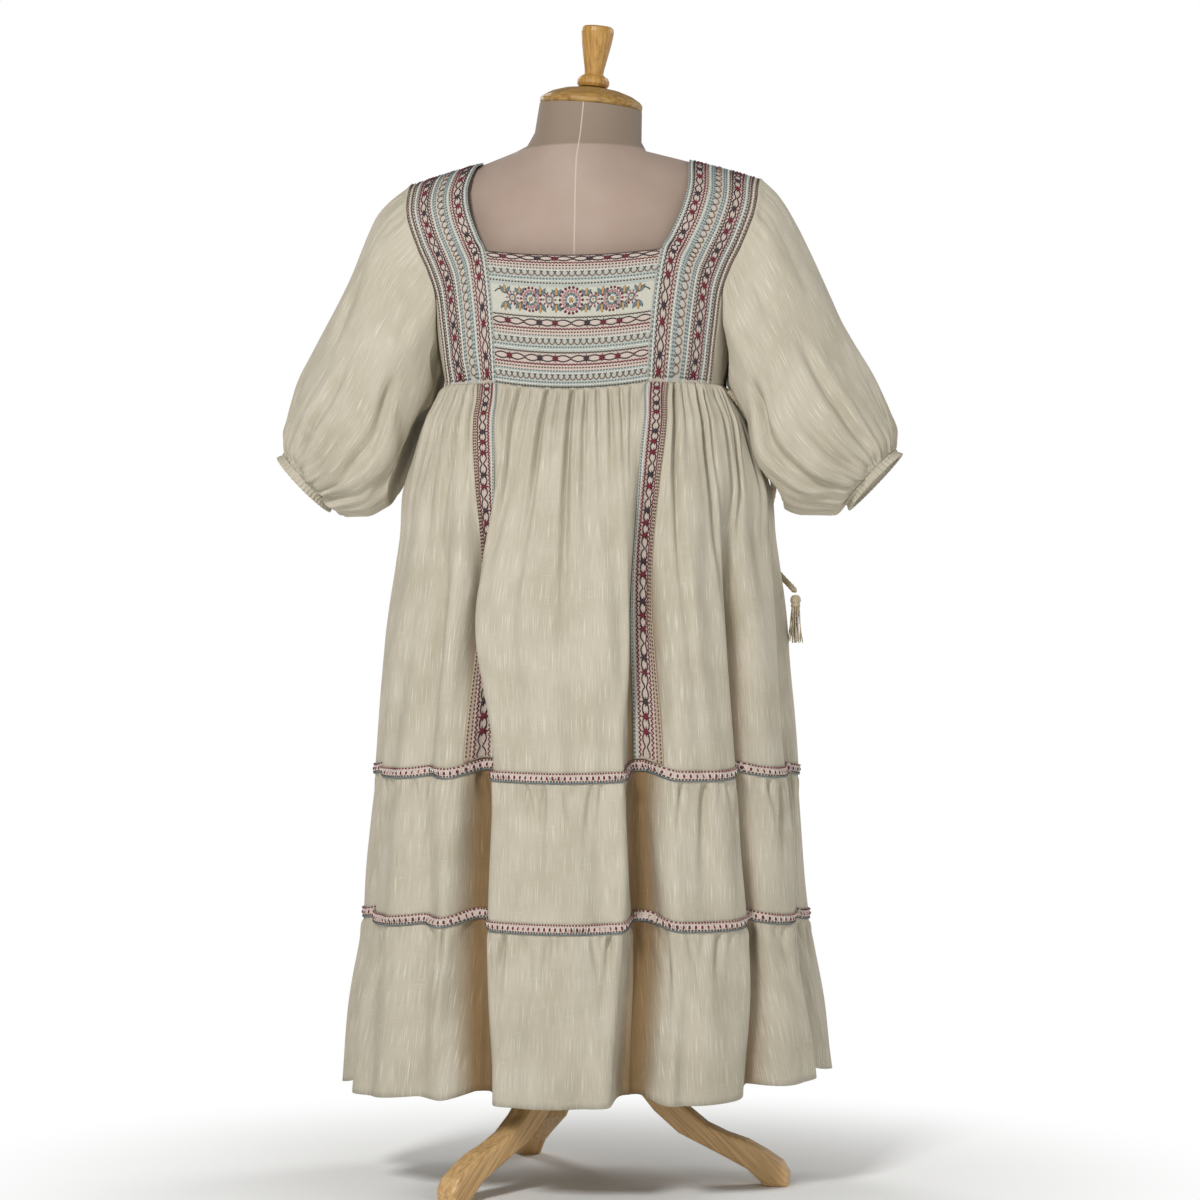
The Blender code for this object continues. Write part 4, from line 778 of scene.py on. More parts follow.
def side_point(across, row):
    """Under the +X arm: across from the back band (-1) to the front band (1), row by row down."""
    back, front = (along_stations(strap_edges(s)[0], NECK_STATION[-1] + row) for s in (-1, 1))
    edge = np.where((across < 0)[..., None], back, front)
    w = np.abs(across)
    down = row / SIDE_ROWS
    middle = ARMHOLE_LOW + (YOKE_SEAM - ARMHOLE_LOW) * down
    height = middle + (edge[..., 2] - middle) * w ** 3
    depth = w * edge[..., 1]
    half_width, back_depth, front_depth, square = outline_row(np.full_like(w, YOKE_SEAM))
    share = np.maximum(0, 1 - (np.abs(depth) / np.where(depth < 0, back_depth, front_depth)) ** square)
    ring = half_width * share ** (1.0 / square)
    width = UNDERARM_OUT + (OUTLINE[0][1] - UNDERARM_OUT) * down
    x = edge[..., 0] + (width - edge[..., 0]) * (1 - w * w)
    last = ease((down - 0.6) / 0.4)
    return np.stack([x + (ring - x) * last, depth, height], axis=-1)


def side_grid(sign, rows=24, columns=37):
    across, row = np.meshgrid(np.linspace(-1, 1, columns), np.linspace(0, SIDE_ROWS, rows))
    points = side_point(across, row)
    points[..., 0] *= sign
    return points if sign > 0 else points[:, ::-1]


def banded_cotton(name, grounds, width):
    """Cotton almost covered by stitching, its ground coloured in bands across the piece.

    Its flat stitches are 1 mm apart, too fine to show, so their flecks are drawn at 1.4 mm.
    """
    made, tree, shader = new_material(name, 0.9)
    cloth = add_node(tree, "ShaderNodeUVMap", {"uv_map": "cloth"})
    parts = add_node(tree, "ShaderNodeSeparateXYZ", links={"Vector": cloth.outputs["UV"]})
    share = add_node(tree, "ShaderNodeMath", {"operation": "DIVIDE", 1: width},
                     {0: parts.outputs["X"]})
    ground = add_node(tree, "ShaderNodeValToRGB", {"stops": grounds}, {"Fac": share.outputs["Value"]})
    ground.color_ramp.interpolation = "CONSTANT"
    fleck = add_node(tree, "ShaderNodeTexNoise", {"Scale": 700.0, "Detail": 3.0},
                     {"Vector": cloth.outputs["UV"]})
    shade = add_node(tree, "ShaderNodeMapRange",
                     {"From Min": 0.3, "From Max": 0.7, "To Min": 0.82, "To Max": 1.12},
                     {"Value": fleck.outputs["Fac"]})
    tint = add_node(tree, "ShaderNodeMix",
                    {"data_type": "RGBA", "blend_type": "MULTIPLY", 0: 1.0},
                    {6: ground.outputs["Color"], 7: shade.outputs["Result"]})
    tree.links.new(tint.outputs[2], shader.inputs["Base Color"])
    relief = add_node(tree, "ShaderNodeBump", {"Strength": 0.6, "Distance": 0.0008},
                      {"Height": fleck.outputs["Fac"]})
    tree.links.new(relief.outputs["Normal"], shader.inputs["Normal"])
    return made


def thread(name, colour):
    """Stranded cotton thread: matt, flecked at 0.8 mm. Most stitches are bars 2 mm wide."""
    made, tree, shader = new_material("thread_" + name, 0.75)
    place = add_node(tree, "ShaderNodeTexCoord")
    noise = add_node(tree, "ShaderNodeTexNoise", {"Scale": 1300.0, "Detail": 2.0},
                     {"Vector": place.outputs["Object"]})
    shade = add_node(tree, "ShaderNodeMapRange",
                     {"From Min": 0.3, "From Max": 0.7, "To Min": 0.78, "To Max": 1.15},
                     {"Value": noise.outputs["Fac"]})
    tint = add_node(tree, "ShaderNodeMix",
                    {"data_type": "RGBA", "blend_type": "MULTIPLY", 0: 1.0, 6: linear(colour)},
                    {7: shade.outputs["Result"]})
    tree.links.new(tint.outputs[2], shader.inputs["Base Color"])
    return made


threads = {
    "red": thread("dark_red", "6E1A2C"),
    "brown": thread("brown", "543F35"),
    "plum": thread("plum", "3B2D33"),
    "blue": thread("slate_blue", "66777B"),
    "white": thread("white", "DEDCD2"),
    "rust": thread("rust", "856657"),
    "rose": thread("rose", "C08A90"),
    "ochre": thread("ochre", "B9925E"),
}


def stroke_line(t, s):
    """Strokes from each point of a line of (along, across) pairs to the next."""
    pairs = np.stack([t, s], axis=-1)
    return pairs[:-1], pairs[1:]


def dotted(length, s, pitch=0.0040, long=0.0025):
    """A row of short stitches, drawn a third coarser than real ones so that they show."""
    t = np.arange(pitch / 2, length - pitch / 2, pitch)
    half = long / 2
    level = np.full_like(t, s)
    return np.stack([t - half, level], -1), np.stack([t + half, level], -1)


def solid_line(length, s, long=0.0034):
    t = np.arange(0.0005, length - 0.0005, long)
    level = np.full_like(t, s)
    return np.stack([t, level], -1), np.stack([np.minimum(t + long * 1.02, length), level], -1)


def zigzag(length, s, half, pitch=0.0023):
    t = np.arange(0.0008, length - 0.0008, pitch)
    return stroke_line(t, s + half * np.where(np.arange(len(t)) % 2 == 0, 1.0, -1.0))


def crossed_loops(length, s, half, pitch):
    """Two waves that cross, so that they close a chain of lens shaped loops."""
    t = np.arange(0.0008, length - 0.0008, pitch / 8)
    starts, ends = [], []
    for sign in (-1, 1):
        a, b = stroke_line(t, s + sign * half * np.abs(np.sin(math.pi * t / pitch)) ** 0.8)
        starts.append(a)
        ends.append(b)
    return np.vstack(starts), np.vstack(ends)


# Colours of the knots along a chain of loops, which then repeat; a plain crossing has none
KNOTS = ("red", "red", None, "plum", "red", None, "plum")


def stars(length, s, size, pitch, colour):
    """Knots of four crossed stitches, where the loops cross and the repeat has this colour."""
    middles = np.array([k * pitch for k in range(1, int((length - size / 2) / pitch) + 1)
                        if KNOTS[k % len(KNOTS)] == colour])
    starts, ends = [], []
    for turn in (0.0, math.pi / 4, math.pi / 2, 3 * math.pi / 4):
        reach = np.array((math.cos(turn), math.sin(turn))) * size / 2
        at = np.stack([middles, np.full_like(middles, s)], -1)
        starts.append(at - reach)
        ends.append(at + reach)
    return np.vstack(starts), np.vstack(ends)


def scallops(length, s, radius):
    """A row of half circles, each drawn in short stitches."""
    starts, ends = [], []
    turn = np.linspace(0, math.pi, 7)
    for middle in np.arange(radius, length - radius * 0.9, 2 * radius):
        a, b = stroke_line(middle - radius * np.cos(turn) * 0.92,
                           s + radius * np.sin(turn))
        starts.append(a)
        ends.append(b)
    return np.vstack(starts), np.vstack(ends)


def ticks(length, s, radius):
    """Pairs of short stitches that spread from each joint of a scalloped row."""
    joints = np.arange(2 * radius, length - radius * 0.9, 2 * radius)
    at = np.stack([joints, np.full_like(joints, s)], -1)
    starts, ends = [], []
    for lean in (-0.45, 0.45):
        starts.append(at)
        ends.append(at + np.array((lean, -0.55)) * radius)
    return np.vstack(starts), np.vstack(ends)


def rungs(length, s, half, pitch):
    t = np.arange(pitch / 2, length, pitch)
    return np.stack([t, np.full_like(t, s - half)], -1), np.stack([t, np.full_like(t, s + half)], -1)


def raised_stitches(name, points, normals, strokes):
    """One mesh of raised stitches on a grid of cloth.

    strokes holds (thread, starts, ends, width, rise), places being shares across and down the grid.
    """
    rows, columns = points.shape[:2]

    def on_cloth(place):
        c = np.clip(place[:, 0], 0, 1) * (columns - 1)
        r = np.clip(place[:, 1], 0, 1) * (rows - 1)
        c0, r0 = np.minimum(c.astype(int), columns - 2), np.minimum(r.astype(int), rows - 2)
        fc, fr = (c - c0)[:, None], (r - r0)[:, None]

        def mix(grid):
            return ((1 - fr) * ((1 - fc) * grid[r0, c0] + fc * grid[r0, c0 + 1])
                    + fr * ((1 - fc) * grid[r0 + 1, c0] + fc * grid[r0 + 1, c0 + 1]))
        return mix(points), mix(normals)

    used = sorted({stroke[0] for stroke in strokes})
    all_points, all_faces, all_kinds = [], [], []
    count = 0
    for colour, starts, ends, width, rise in strokes:
        a, normal_a = on_cloth(starts)
        b, normal_b = on_cloth(ends)
        normal = normal_a + normal_b
        normal /= np.linalg.norm(normal, axis=1, keepdims=True)
        along = b - a
        side = np.cross(normal, along)
        side /= np.maximum(np.linalg.norm(side, axis=1, keepdims=True), 1e-12)
        side *= width / 2
        # A broad flat stitch is pointed like a petal, a narrow one is blunt
        blunt = 0.32 if width > FLAT_STITCH else 0.1
        near, far = a + along * blunt, a + along * (1 - blunt)
        top = normal * rise
        sunk = normal * 0.0002
        bar = np.stack([a - sunk, near + side - sunk, near + top, near - side - sunk,
                        far + side - sunk, far + top, far - side - sunk, b - sunk], axis=1)
        first = count + 8 * np.arange(len(a))[:, None]
        for shape in ((0, 3, 2), (0, 2, 1), (1, 2, 5, 4), (2, 3, 6, 5), (7, 4, 5), (7, 5, 6),
                      (0, 1, 4, 7, 6, 3)):
            faces = first + np.array(shape)[None]
            all_faces += faces.tolist()
            all_kinds += [used.index(colour)] * len(faces)
        all_points.append(bar.reshape(-1, 3))
        count += 8 * len(a)
    piece = mesh_piece(name, np.vstack(all_points), all_faces, [threads[c] for c in used])
    piece.data.polygons.foreach_set("material_index", np.array(all_kinds, dtype=np.int32))
    return piece


# Rows of stitching across a shoulder band, from its inner edge to its outer edge, in millimetres
# kind, place, size, colour
STRAP_ROWS = (
    ("dotted", 1.2, 0, "blue"), ("line", 3.4, 0, "white"), ("zigzag", 6.2, 1.2, "plum"),
    ("loops", 12.6, 3.8, "plum"), ("zigzag", 19.2, 1.2, "red"), ("dotted", 22.4, 0, "brown"),
    ("line", 25.2, 0, "white"), ("dotted", 28.0, 0, "blue"), ("dotted", 30.6, 0, "blue"),
    ("scallops", 34.2, 4.6, "rust"), ("dotted", 42.0, 0, "blue"), ("dotted", 44.6, 0, "blue"),
    ("line", 47.0, 0, "white"), ("dotted", 49.4, 0, "brown"), ("zigzag", 52.2, 1.2, "plum"),
    ("loops", 58.6, 3.8, "plum"), ("zigzag", 65.2, 1.2, "red"), ("dotted", 68.2, 0, "blue"),
    ("line", 70.8, 0, "white"), ("dotted", 73.4, 0, "brown"), ("zigzag", 76.4, 1.1, "brown"),
    ("line", 79.4, 0, "white"), ("dotted", 82.2, 0, "brown"),
)
STRAP_WIDE = 0.084
STRAP_GROUNDS = (
    (0.0, "ABAFA6"), (0.055, "C2B2A6"), (0.28, "ABAFA6"), (0.385, "BBB5A9"), (0.49, "ABAFA6"),
    (0.57, "C2B2A6"), (0.80, "B2B2A9"), (0.89, "AC9C8D"),
)
LOOP_PITCH = 0.0144
PANEL_PITCH = 0.0210
STAR_SHARE = 3.3
FLAT_STITCH = 0.0023
RUNG_PITCH, SQUARE_PITCH = 0.0039, 0.0078
# Width and rise of the stitches of each kind of row
STITCHES = {
    "dotted": (0.0021, 0.0011), "line": (0.0019, 0.0008), "zigzag": (0.0017, 0.0012),
    "loops": (0.0020, 0.0012), "knots": (0.0026, 0.0019), "scallops": (0.0017, 0.0011),
    "ticks": (0.0015, 0.0011), "rungs": (0.0016, 0.0008), "squares": (0.0042, 0.0018),
}


def band_strokes(rows, length, pitch=LOOP_PITCH):
    """The strokes of a table of rows, as (thread, starts, ends, width, rise), in metres."""
    made = []
    for kind, place, size, colour in rows:
        s, size = place / 1000, size / 1000
        if kind == "dotted":
            ends = dotted(length, s)
        elif kind == "line":
            ends = solid_line(length, s)
        elif kind == "zigzag":
            ends = zigzag(length, s, size)
        elif kind == "loops":
            ends = crossed_loops(length, s, size, pitch)
        elif kind == "scallops":
            ends = scallops(length, s, size)
        else:
            ends = rungs(length, s, size / 2, RUNG_PITCH if kind == "rungs" else SQUARE_PITCH)
        made.append((colour, *ends, *STITCHES[kind]))
        if kind == "loops":
            for knot in ("red", "plum"):
                crossed = stars(length, s, STAR_SHARE * size, pitch, knot)
                made.append((knot, *crossed, *STITCHES["knots"]))
        elif kind == "scallops":
            made.append(("brown", *ticks(length, s, size), *STITCHES["ticks"]))
    return made


def shared(strokes, length, wide, along_rows=True, flip=False):
    """Turn strokes in metres into shares of a grid, across and down it."""
    def turn(place):
        t, s = place[:, 0] / length, place[:, 1] / wide
        s = 1 - s if flip else s
        return np.stack([s, t] if along_rows else [t, s], -1)
    return [(colour, turn(a), turn(b), width, rise) for colour, a, b, width, rise in strokes]


strap_cotton = banded_cotton("stitched_band_cotton", STRAP_GROUNDS, STRAP_WIDE)
for side, half in ((-1, "back"), (1, "front")):
    for sign, hand in ((1, "right"), (-1, "left")):
        points = strap_grid(side, sign)
        name = f"strap_{half}_{hand}"
        u, v = cloth_lengths(points)
        inner_first = sign * side < 0
        across = np.linspace(0, STRAP_WIDE, points.shape[1])
        across = across if inner_first else across[::-1]
        uv = np.stack([np.broadcast_to(across, u.shape), v], -1)
        cloth_piece(name + "_cloth", points, strap_cotton, [name],
                    uv=uv)
        long = float(v.mean(axis=1).max())
        strokes = shared(band_strokes(STRAP_ROWS, long), long, STRAP_WIDE, flip=not inner_first)
        raised_stitches(name + "_stitches", points, grid_normals(points), strokes)

# Rows of stitching down a centre panel, from the neckline to the yoke seam
PANEL_ROWS = (
    ("zigzag", 1.0, 0.5, "brown"), ("loops", 6.6, 3.3, "plum"), ("zigzag", 12.8, 1.0, "red"),
    ("dotted", 16.4, 0, "brown"), ("dotted", 20.2, 0, "blue"), ("line", 22.8, 0, "white"),
    ("scallops", 25.6, 4.2, "rust"), ("dotted", 32.8, 0, "blue"), ("line", 35.4, 0, "white"),
    ("dotted", 38.0, 0, "brown"),
    ("zigzag", 76.2, 0.8, "brown"), ("loops", 82.2, 3.3, "plum"), ("zigzag", 88.4, 1.0, "red"),
    ("dotted", 91.8, 0, "brown"), ("dotted", 95.4, 0, "blue"), ("line", 98.0, 0, "white"),
    ("scallops", 100.8, 4.2, "rust"), ("dotted", 107.8, 0, "blue"), ("line", 110.4, 0, "white"),
    ("zigzag", 113.6, 0.8, "brown"), ("loops", 119.8, 3.3, "plum"), ("zigzag", 126.0, 1.0, "red"),
    ("dotted", 129.4, 0, "brown"), ("dotted", 133.0, 0, "blue"), ("line", 135.6, 0, "white"),
    ("scallops", 138.4, 4.0, "rust"), ("dotted", 145.0, 0, "blue"), ("line", 147.4, 0, "white"),
    ("dotted", 149.6, 0, "brown"),
)
PANEL_TALL = 0.151
FRONT_PANEL_TALL = 0.112
PANEL_GROUNDS = (
    (0.0, "C2B2A6"), (0.12, "ABAFA6"), (0.25, "BDBBAD"), (0.50, "C2B2A6"), (0.62, "ABAFA6"),
    (0.74, "C2B2A6"), (0.87, "ABAFA6"),
)
MOTIF_HIGH, MOTIF_LOW = 0.0400, 0.0745
STEM_WAVE, STEM_SWAY, STEM_SHORT = 0.052, 0.55, 0.006
# Each flower's distance from the middle, and its size
FLOWERS = ((0.0, 0.0168), (0.0280, 0.0092), (0.0520, 0.0150), (0.0760, 0.0085))
LARGE_FLOWER = 0.010
# A flower's rings from the edge in: petals when large and when small, their inner and outer end and
# their width as shares of its size, colour
RINGS = (
    ((18, 10), (0.74, 1.0), 0.22, "red"), ((18, 10), (0.50, 0.78), 0.24, "rose"),
    ((12, 12), (0.30, 0.56), 0.22, "blue"), ((10, 10), (0.14, 0.36), 0.20, "white"),
    ((6, 6), (0.0, 0.18), 0.18, "ochre"),
)
LEAF_PLACES, LEAF_LONG, LEAF_WIDE = (0.0185, 0.0390, 0.0660, 0.0850), (0.0115, 0.0127), 0.0046
LEAF_LEANS = ((-0.62, "blue"), (0.10, "ochre"), (0.75, "blue"))
LEAF_ROOT, PETAL_RISE = 0.0035, 0.0014


def petals(heart, size, count, reach, colour, thick):
    """A ring of petals, each one flat stitch wide, round the heart of a flower."""
    turn = 2 * math.pi * np.arange(count) / count
    way = np.stack([np.cos(turn), np.sin(turn)], -1)
    return (colour, heart + way * size * reach[0], heart + way * size * reach[1], thick, PETAL_RISE)


def flower_row(width):
    """A plain row of round flowers on a waving stem, with paired leaves, alike on both hands."""
    made = []
    middle, centre = width / 2, (MOTIF_HIGH + MOTIF_LOW) / 2
    half = (MOTIF_LOW - MOTIF_HIGH) / 2
    t = np.linspace(-middle + STEM_SHORT, middle - STEM_SHORT, 110)
    wave = centre + STEM_SWAY * half * np.sin(np.abs(t) * 2 * math.pi / STEM_WAVE)
    made.append(("brown", *stroke_line(t + middle, wave), 0.0020, 0.0010))
    for x, size in FLOWERS:
        for sign in (-1, 1) if x else (1,):
            heart = np.array((middle + sign * x, centre))
            for counts, reach, wide, colour in RINGS:
                count = counts[0] if size > LARGE_FLOWER else counts[1]
                made.append(petals(heart, size, count, reach, colour, size * wide))
    for k, x in enumerate(LEAF_PLACES):
        for sign in (-1, 1):
            for up in (-1, 1):
                root = np.array((middle + sign * x, centre + up * LEAF_ROOT))
                for lean, colour in LEAF_LEANS:
                    way = np.array((sign * lean, up * 1.0))
                    tip = root + way / np.linalg.norm(way) * LEAF_LONG[k % 2]
                    made.append((colour, root[None], tip[None], LEAF_WIDE, PETAL_RISE))
    return made


panel_cotton = banded_cotton("stitched_panel_cotton", PANEL_GROUNDS, PANEL_TALL)
for side, half, tall in ((-1, "back", PANEL_TALL), (1, "front", FRONT_PANEL_TALL)):
    points = panel_grid(side)
    name = "yoke_" + half
    u, v = cloth_lengths(points)
    # The front is lower at the neck: its rows are those of the back below that level
    skipped = PANEL_TALL - tall
    uv = np.stack([skipped + v / v.max() * tall, u], -1)
    cloth_piece(name + "_cloth", points, panel_cotton, [name],
                uv=uv)
    wide = float(u.max())
    strokes = []
    for stroke in band_strokes(PANEL_ROWS, wide, PANEL_PITCH) + flower_row(wide):
        kept = stroke[1][:, 1].min() > skipped
        if kept:
            down = np.array((0.0, skipped))
            strokes.append((stroke[0], stroke[1] - down, stroke[2] - down, *stroke[3:]))
    raised_stitches(name + "_stitches", points, grid_normals(points),
                    shared(strokes, wide, tall, along_rows=False))

for sign, hand in ((1, "right"), (-1, "left")):
    name = "side_bodice_" + hand
    cloth_piece(name + "_cloth", side_grid(sign), ecru, [name])


# Stitched strips down the skirt
# A narrow stitched band covers each of the four long seams of the skirt, from the yoke seam to the
# first tier. It lies on the cloth and follows it into the deep fold.
STRIP_ROWS = (
    ("dotted", 1.3, 0, "brown"), ("dotted", 3.9, 0, "brown"), ("zigzag", 6.6, 1.1, "red"),
    ("loops", 12.9, 3.7, "plum"), ("zigzag", 19.2, 1.1, "red"), ("line", 22.0, 0, "white"),
    ("dotted", 24.0, 0, "blue"),
)
STRIP_WIDE = 0.025
STRIP_FINE = 140
STRIP_LIFT = 0.0016
STRIP_GROUNDS = ((0.0, "AD9B87"), (0.17, "BDADA0"), (0.84, "B2B2A9"))
strip_cotton = banded_cotton("stitched_strip_cotton", STRIP_GROUNDS, STRIP_WIDE)
for name, start, outer_first in (
    ("strip_back_right", BACK_COLUMNS, False), ("strip_front_right", front_start - STRIP_COLUMNS, True),
    ("strip_front_left", front_end, False), ("strip_back_left", -STRIP_COLUMNS, True),
):
    points, normals, in_fold = skirt_grid(start, start + STRIP_COLUMNS, 0, STRIP_FINE)
    points = points[1:-2] + normals[1:-2] * STRIP_LIFT
    u, v = cloth_lengths(points)
    across = np.linspace(0, STRIP_WIDE, points.shape[1])
    across = across if outer_first else across[::-1]
    uv = np.stack([np.broadcast_to(across, u.shape), v], -1)
    cloth_piece(name + "_cloth", points, strip_cotton, [name],
                thick=BAND_CLOTH, uv=uv)
    long = float(v.mean(axis=1).max())
    strokes = shared(band_strokes(STRIP_ROWS, long), long, STRIP_WIDE, flip=not outer_first)
    raised_stitches(name + "_stitches", points, plan_normals(points), strokes)


# Trims over the tier seams
# A pinkish white ladder of flat stitches with dark red squares covers each gathered seam, with a
# row of short red stitches above it, and a brown row and a grey blue line below.
TRIM_ROWS = (
    ("dotted", 1.0, 0, "red"), ("rungs", 6.0, 5.4, "white"), ("squares", 6.0, 5.0, "red"),
    ("dotted", 9.6, 0, "brown"), ("line", 11.4, 0, "blue"),
)
TRIM_WIDE = 0.012
TRIM_LIFT = 0.0020
trim_cotton = banded_cotton("stitched_trim_cotton", ((0.0, "C6B5A9"), (0.85, "A9AFB2")), TRIM_WIDE)


def trim_grid(start, end, tier):
    """A band 12 mm tall over the seam above a tier."""
    above = skirt_grid(start, end, tier - 1)[0]
    below = skirt_grid(start, end, tier)[0]
    level = above[-1, :, 2]
    drops = np.linspace(TRIM_WIDE / 2, -TRIM_WIDE / 2, 5)
    points = np.empty((len(drops), above.shape[1], 3))
    for row, drop in enumerate(drops):
        source = above if drop > 0 else below
        z = level + drop
        for column in range(source.shape[1]):
            heights = source[:, column, 2][::-1]
            for axis in (0, 1):
                points[row, column, axis] = np.interp(z[column], heights, source[::-1, column, axis])
        points[row, :, 2] = z
    return points + plan_normals(points) * TRIM_LIFT


for half, start, end in halves:
    for tier, level in ((1, "upper"), (2, "lower")):
        points = trim_grid(start, end, tier)
        name = f"trim_{level}_{half}"
        u, v = cloth_lengths(points)
        uv = np.stack([v / v.max() * TRIM_WIDE, u], -1)
        cloth_piece(name + "_cloth", points, trim_cotton, [name],
                    thick=BAND_CLOTH, uv=uv)
        wide = float(u.max())
        strokes = shared(band_strokes(TRIM_ROWS, wide), wide, TRIM_WIDE, along_rows=False)
        raised_stitches(name + "_stitches", points, plan_normals(points), strokes)


# Balloon sleeves and cuffs
# Each sleeve is one full piece of the cotton, eased into the armhole and gathered into an elastic
# casing that ends in a small frill. The casing and frill are one narrow tube.
SLEEVE_TOP = (
    (0.2080, 1.188), (0.2280, 1.168), (0.2480, 1.134), (0.2690, 1.092), (0.2920, 1.045),
    (0.3190, 0.994), (0.3420, 0.951), (0.3590, 0.913), (0.3680, 0.888), (0.3665, 0.868),
)
SLEEVE_UNDER = (
    (0.1735, 0.985), (0.1660, 0.958), (0.1700, 0.925), (0.1800, 0.890), (0.1950, 0.852),
    (0.2140, 0.821), (0.2390, 0.800), (0.2650, 0.789), (0.2900, 0.789), (0.3060, 0.8045),
)
# share of the way, depth to the back, depth to the front, middle moved to the front
SLEEVE_DEPTH = np.array((
    (0.00, 0.066, 0.070, 0.000), (0.15, 0.072, 0.076, 0.004), (0.45, 0.080, 0.080, 0.012),
    (0.75, 0.074, 0.072, 0.020), (0.90, 0.056, 0.055, 0.024), (1.00, 0.042, 0.042, 0.026),
))
LEFT_SLEEVE_OUT = 0.011
SLEEVE_ROUND, SLEEVE_ROWS = 184, 84
SLEEVE_CLEAR, SLEEVE_LEAN, SLEEVE_FREE = 0.0150, 0.0065, 0.035
# The sag's middle and half width in degrees from the top, and the way that it goes
SLEEVE_SAG, SAG_MIDDLE, SAG_HALF, SAG_WAY = 0.020, 137.0, 34.0, (-0.80, -0.60, -0.05)
SLEEVE_TOUCH, TOUCH_FORWARD, TOUCH_ABOVE = 0.0115, -0.024, 0.905
ARMHOLE_STEP = np.array((0.0013, 0.0, 0.0008))
CUFF_CASING, CUFF_FRILL, CUFF_FLARE = 0.004, 0.006, 0.0005
CUFF_WAVES, CUFF_WAVE, FRILL_WAVE = 46, 0.0008, 0.0014
CUFF_START, CUFF_NIP, NIP_HALF = 0.0003, 0.0010, 0.0015


def armhole_loop(count):
    """Even points round the +X armhole, from the shoulder over the back."""
    stations = np.arange(NECK_STATION[-1] + 1)
    loops = []
    for side in (-1, 1):
        outer = strap_edges(side)[0][stations]
        under = side_point(side * np.array((0.75, 0.5, 0.25)), np.zeros(3))
        loops.append(np.vstack([outer, under]))
    bottom = side_point(np.array((0.0,)), np.zeros(1))
    ring = np.vstack([loops[0], bottom, loops[1][:0:-1]])
    fine = []
    for i in range(len(ring)):
        a, b, c, d = (ring[(i + k) % len(ring)] for k in (-1, 0, 1, 2))
        fine += [curve_between(a, b, c, d, k / 20) for k in range(20)]
    fine = np.array(fine + fine[:1])
    lengths = np.concatenate([[0.0], np.cumsum(np.linalg.norm(np.diff(fine, axis=0), axis=1))])
    wanted = lengths[-1] * np.arange(count) / count
    return np.stack([np.interp(wanted, lengths, fine[:, k]) for k in range(3)], -1)


def line_share(line, share):
    line = np.array(line)
    steps = np.linalg.norm(np.diff(line, axis=0), axis=1)
    stops = np.concatenate([[0.0], np.cumsum(steps)]) / steps.sum()
    return [smooth(stops, line[:, k], share) for k in (0, 1)]


def sleeve_grid(out):
    """The sleeve on the +X side without its gathers, row by row from the armhole to the cuff."""
    share = np.linspace(0.0, 1.0, SLEEVE_ROWS)[:, None]
    turn = 2 * math.pi * np.arange(SLEEVE_ROUND)[None] / SLEEVE_ROUND
    top, under = line_share(SLEEVE_TOP, share), line_share(SLEEVE_UNDER, share)
    back, front, forward = (smooth(SLEEVE_DEPTH[:, 0], SLEEVE_DEPTH[:, k], share) for k in (1, 2, 3))
    moved = out * ease(share / 0.16) * (1 - 0.5 * ease((share - 0.7) / 0.3))

    def oval(top, under, back, front, forward):
        depth = np.where(np.sin(turn) > 0, back, front)
        return np.stack([
            (top[0] + under[0]) / 2 + (top[0] - under[0]) / 2 * np.cos(turn),
            forward - depth * np.sin(turn),
            (top[1] + under[1]) / 2 + (top[1] - under[1]) / 2 * np.cos(turn),
        ], axis=-1)

    points = oval(top, under, back, front, forward)
    points[..., 0] += moved
    first = oval(SLEEVE_TOP[0], SLEEVE_UNDER[0], SLEEVE_DEPTH[0, 1], SLEEVE_DEPTH[0, 2], 0.0)
    start = armhole_loop(SLEEVE_ROUND)[None] + ARMHOLE_STEP - first
    points = points + start * (1 - ease(share / 0.45))[..., None]
    # The full cloth sags low behind the arm, and leans on the side of the skirt
    degrees = np.degrees(turn)
    sag = SLEEVE_SAG * np.exp(-(((degrees - SAG_MIDDLE) / SAG_HALF) ** 2))
    sag = sag * ease((share - 0.38) / 0.25) * ease((0.97 - share) / 0.20)
    points = points + sag[..., None] * np.array(SAG_WAY)
    x, y, z = points[..., 0], points[..., 1], points[..., 2]
    half_width, back_depth, front_depth, square = outline_row(np.minimum(z, YOKE_SEAM))
    inside = np.maximum(0, 1 - (np.abs(y) / np.where(y < 0, back_depth, front_depth)) ** square)
    clear = SLEEVE_LEAN + (SLEEVE_CLEAR - SLEEVE_LEAN) * ease((y + 0.060) / 0.030)
    # In front of the tie's top end it lies against the side seam
    touched = ease((y - TOUCH_FORWARD) / 0.014) * ease((z - TOUCH_ABOVE) / 0.020)
    clear = clear - SLEEVE_TOUCH * touched
    width = half_width * inside ** (1.0 / square) + clear * ease(share / 0.12)
    bodice = ease((z - YOKE_SEAM) / (ARMHOLE_LOW - YOKE_SEAM))
    width = width + (UNDERARM_OUT - OUTLINE[0][1]) * bodice
    near = (share > 0) & (z < ARMHOLE_LOW + SLEEVE_FREE)
    points[..., 0] = np.where(near, np.maximum(x, width), x)
    return points, share, turn


# Gathers round the cuff and round the cap: how many, salts of their place, reach and depth,
# shortest reach, how much longer, depth, how uneven, half width in degrees
SLEEVE_GATHERS = {
    "cuff": (46, (3, 5, 6), 0.08, 0.30, 0.0066, 0.8, 2.3),
    "cap": (40, (8, 9, 10), 0.06, 0.16, 0.0042, 0.9, 2.8),
}
CAP_UPPER = 0.62
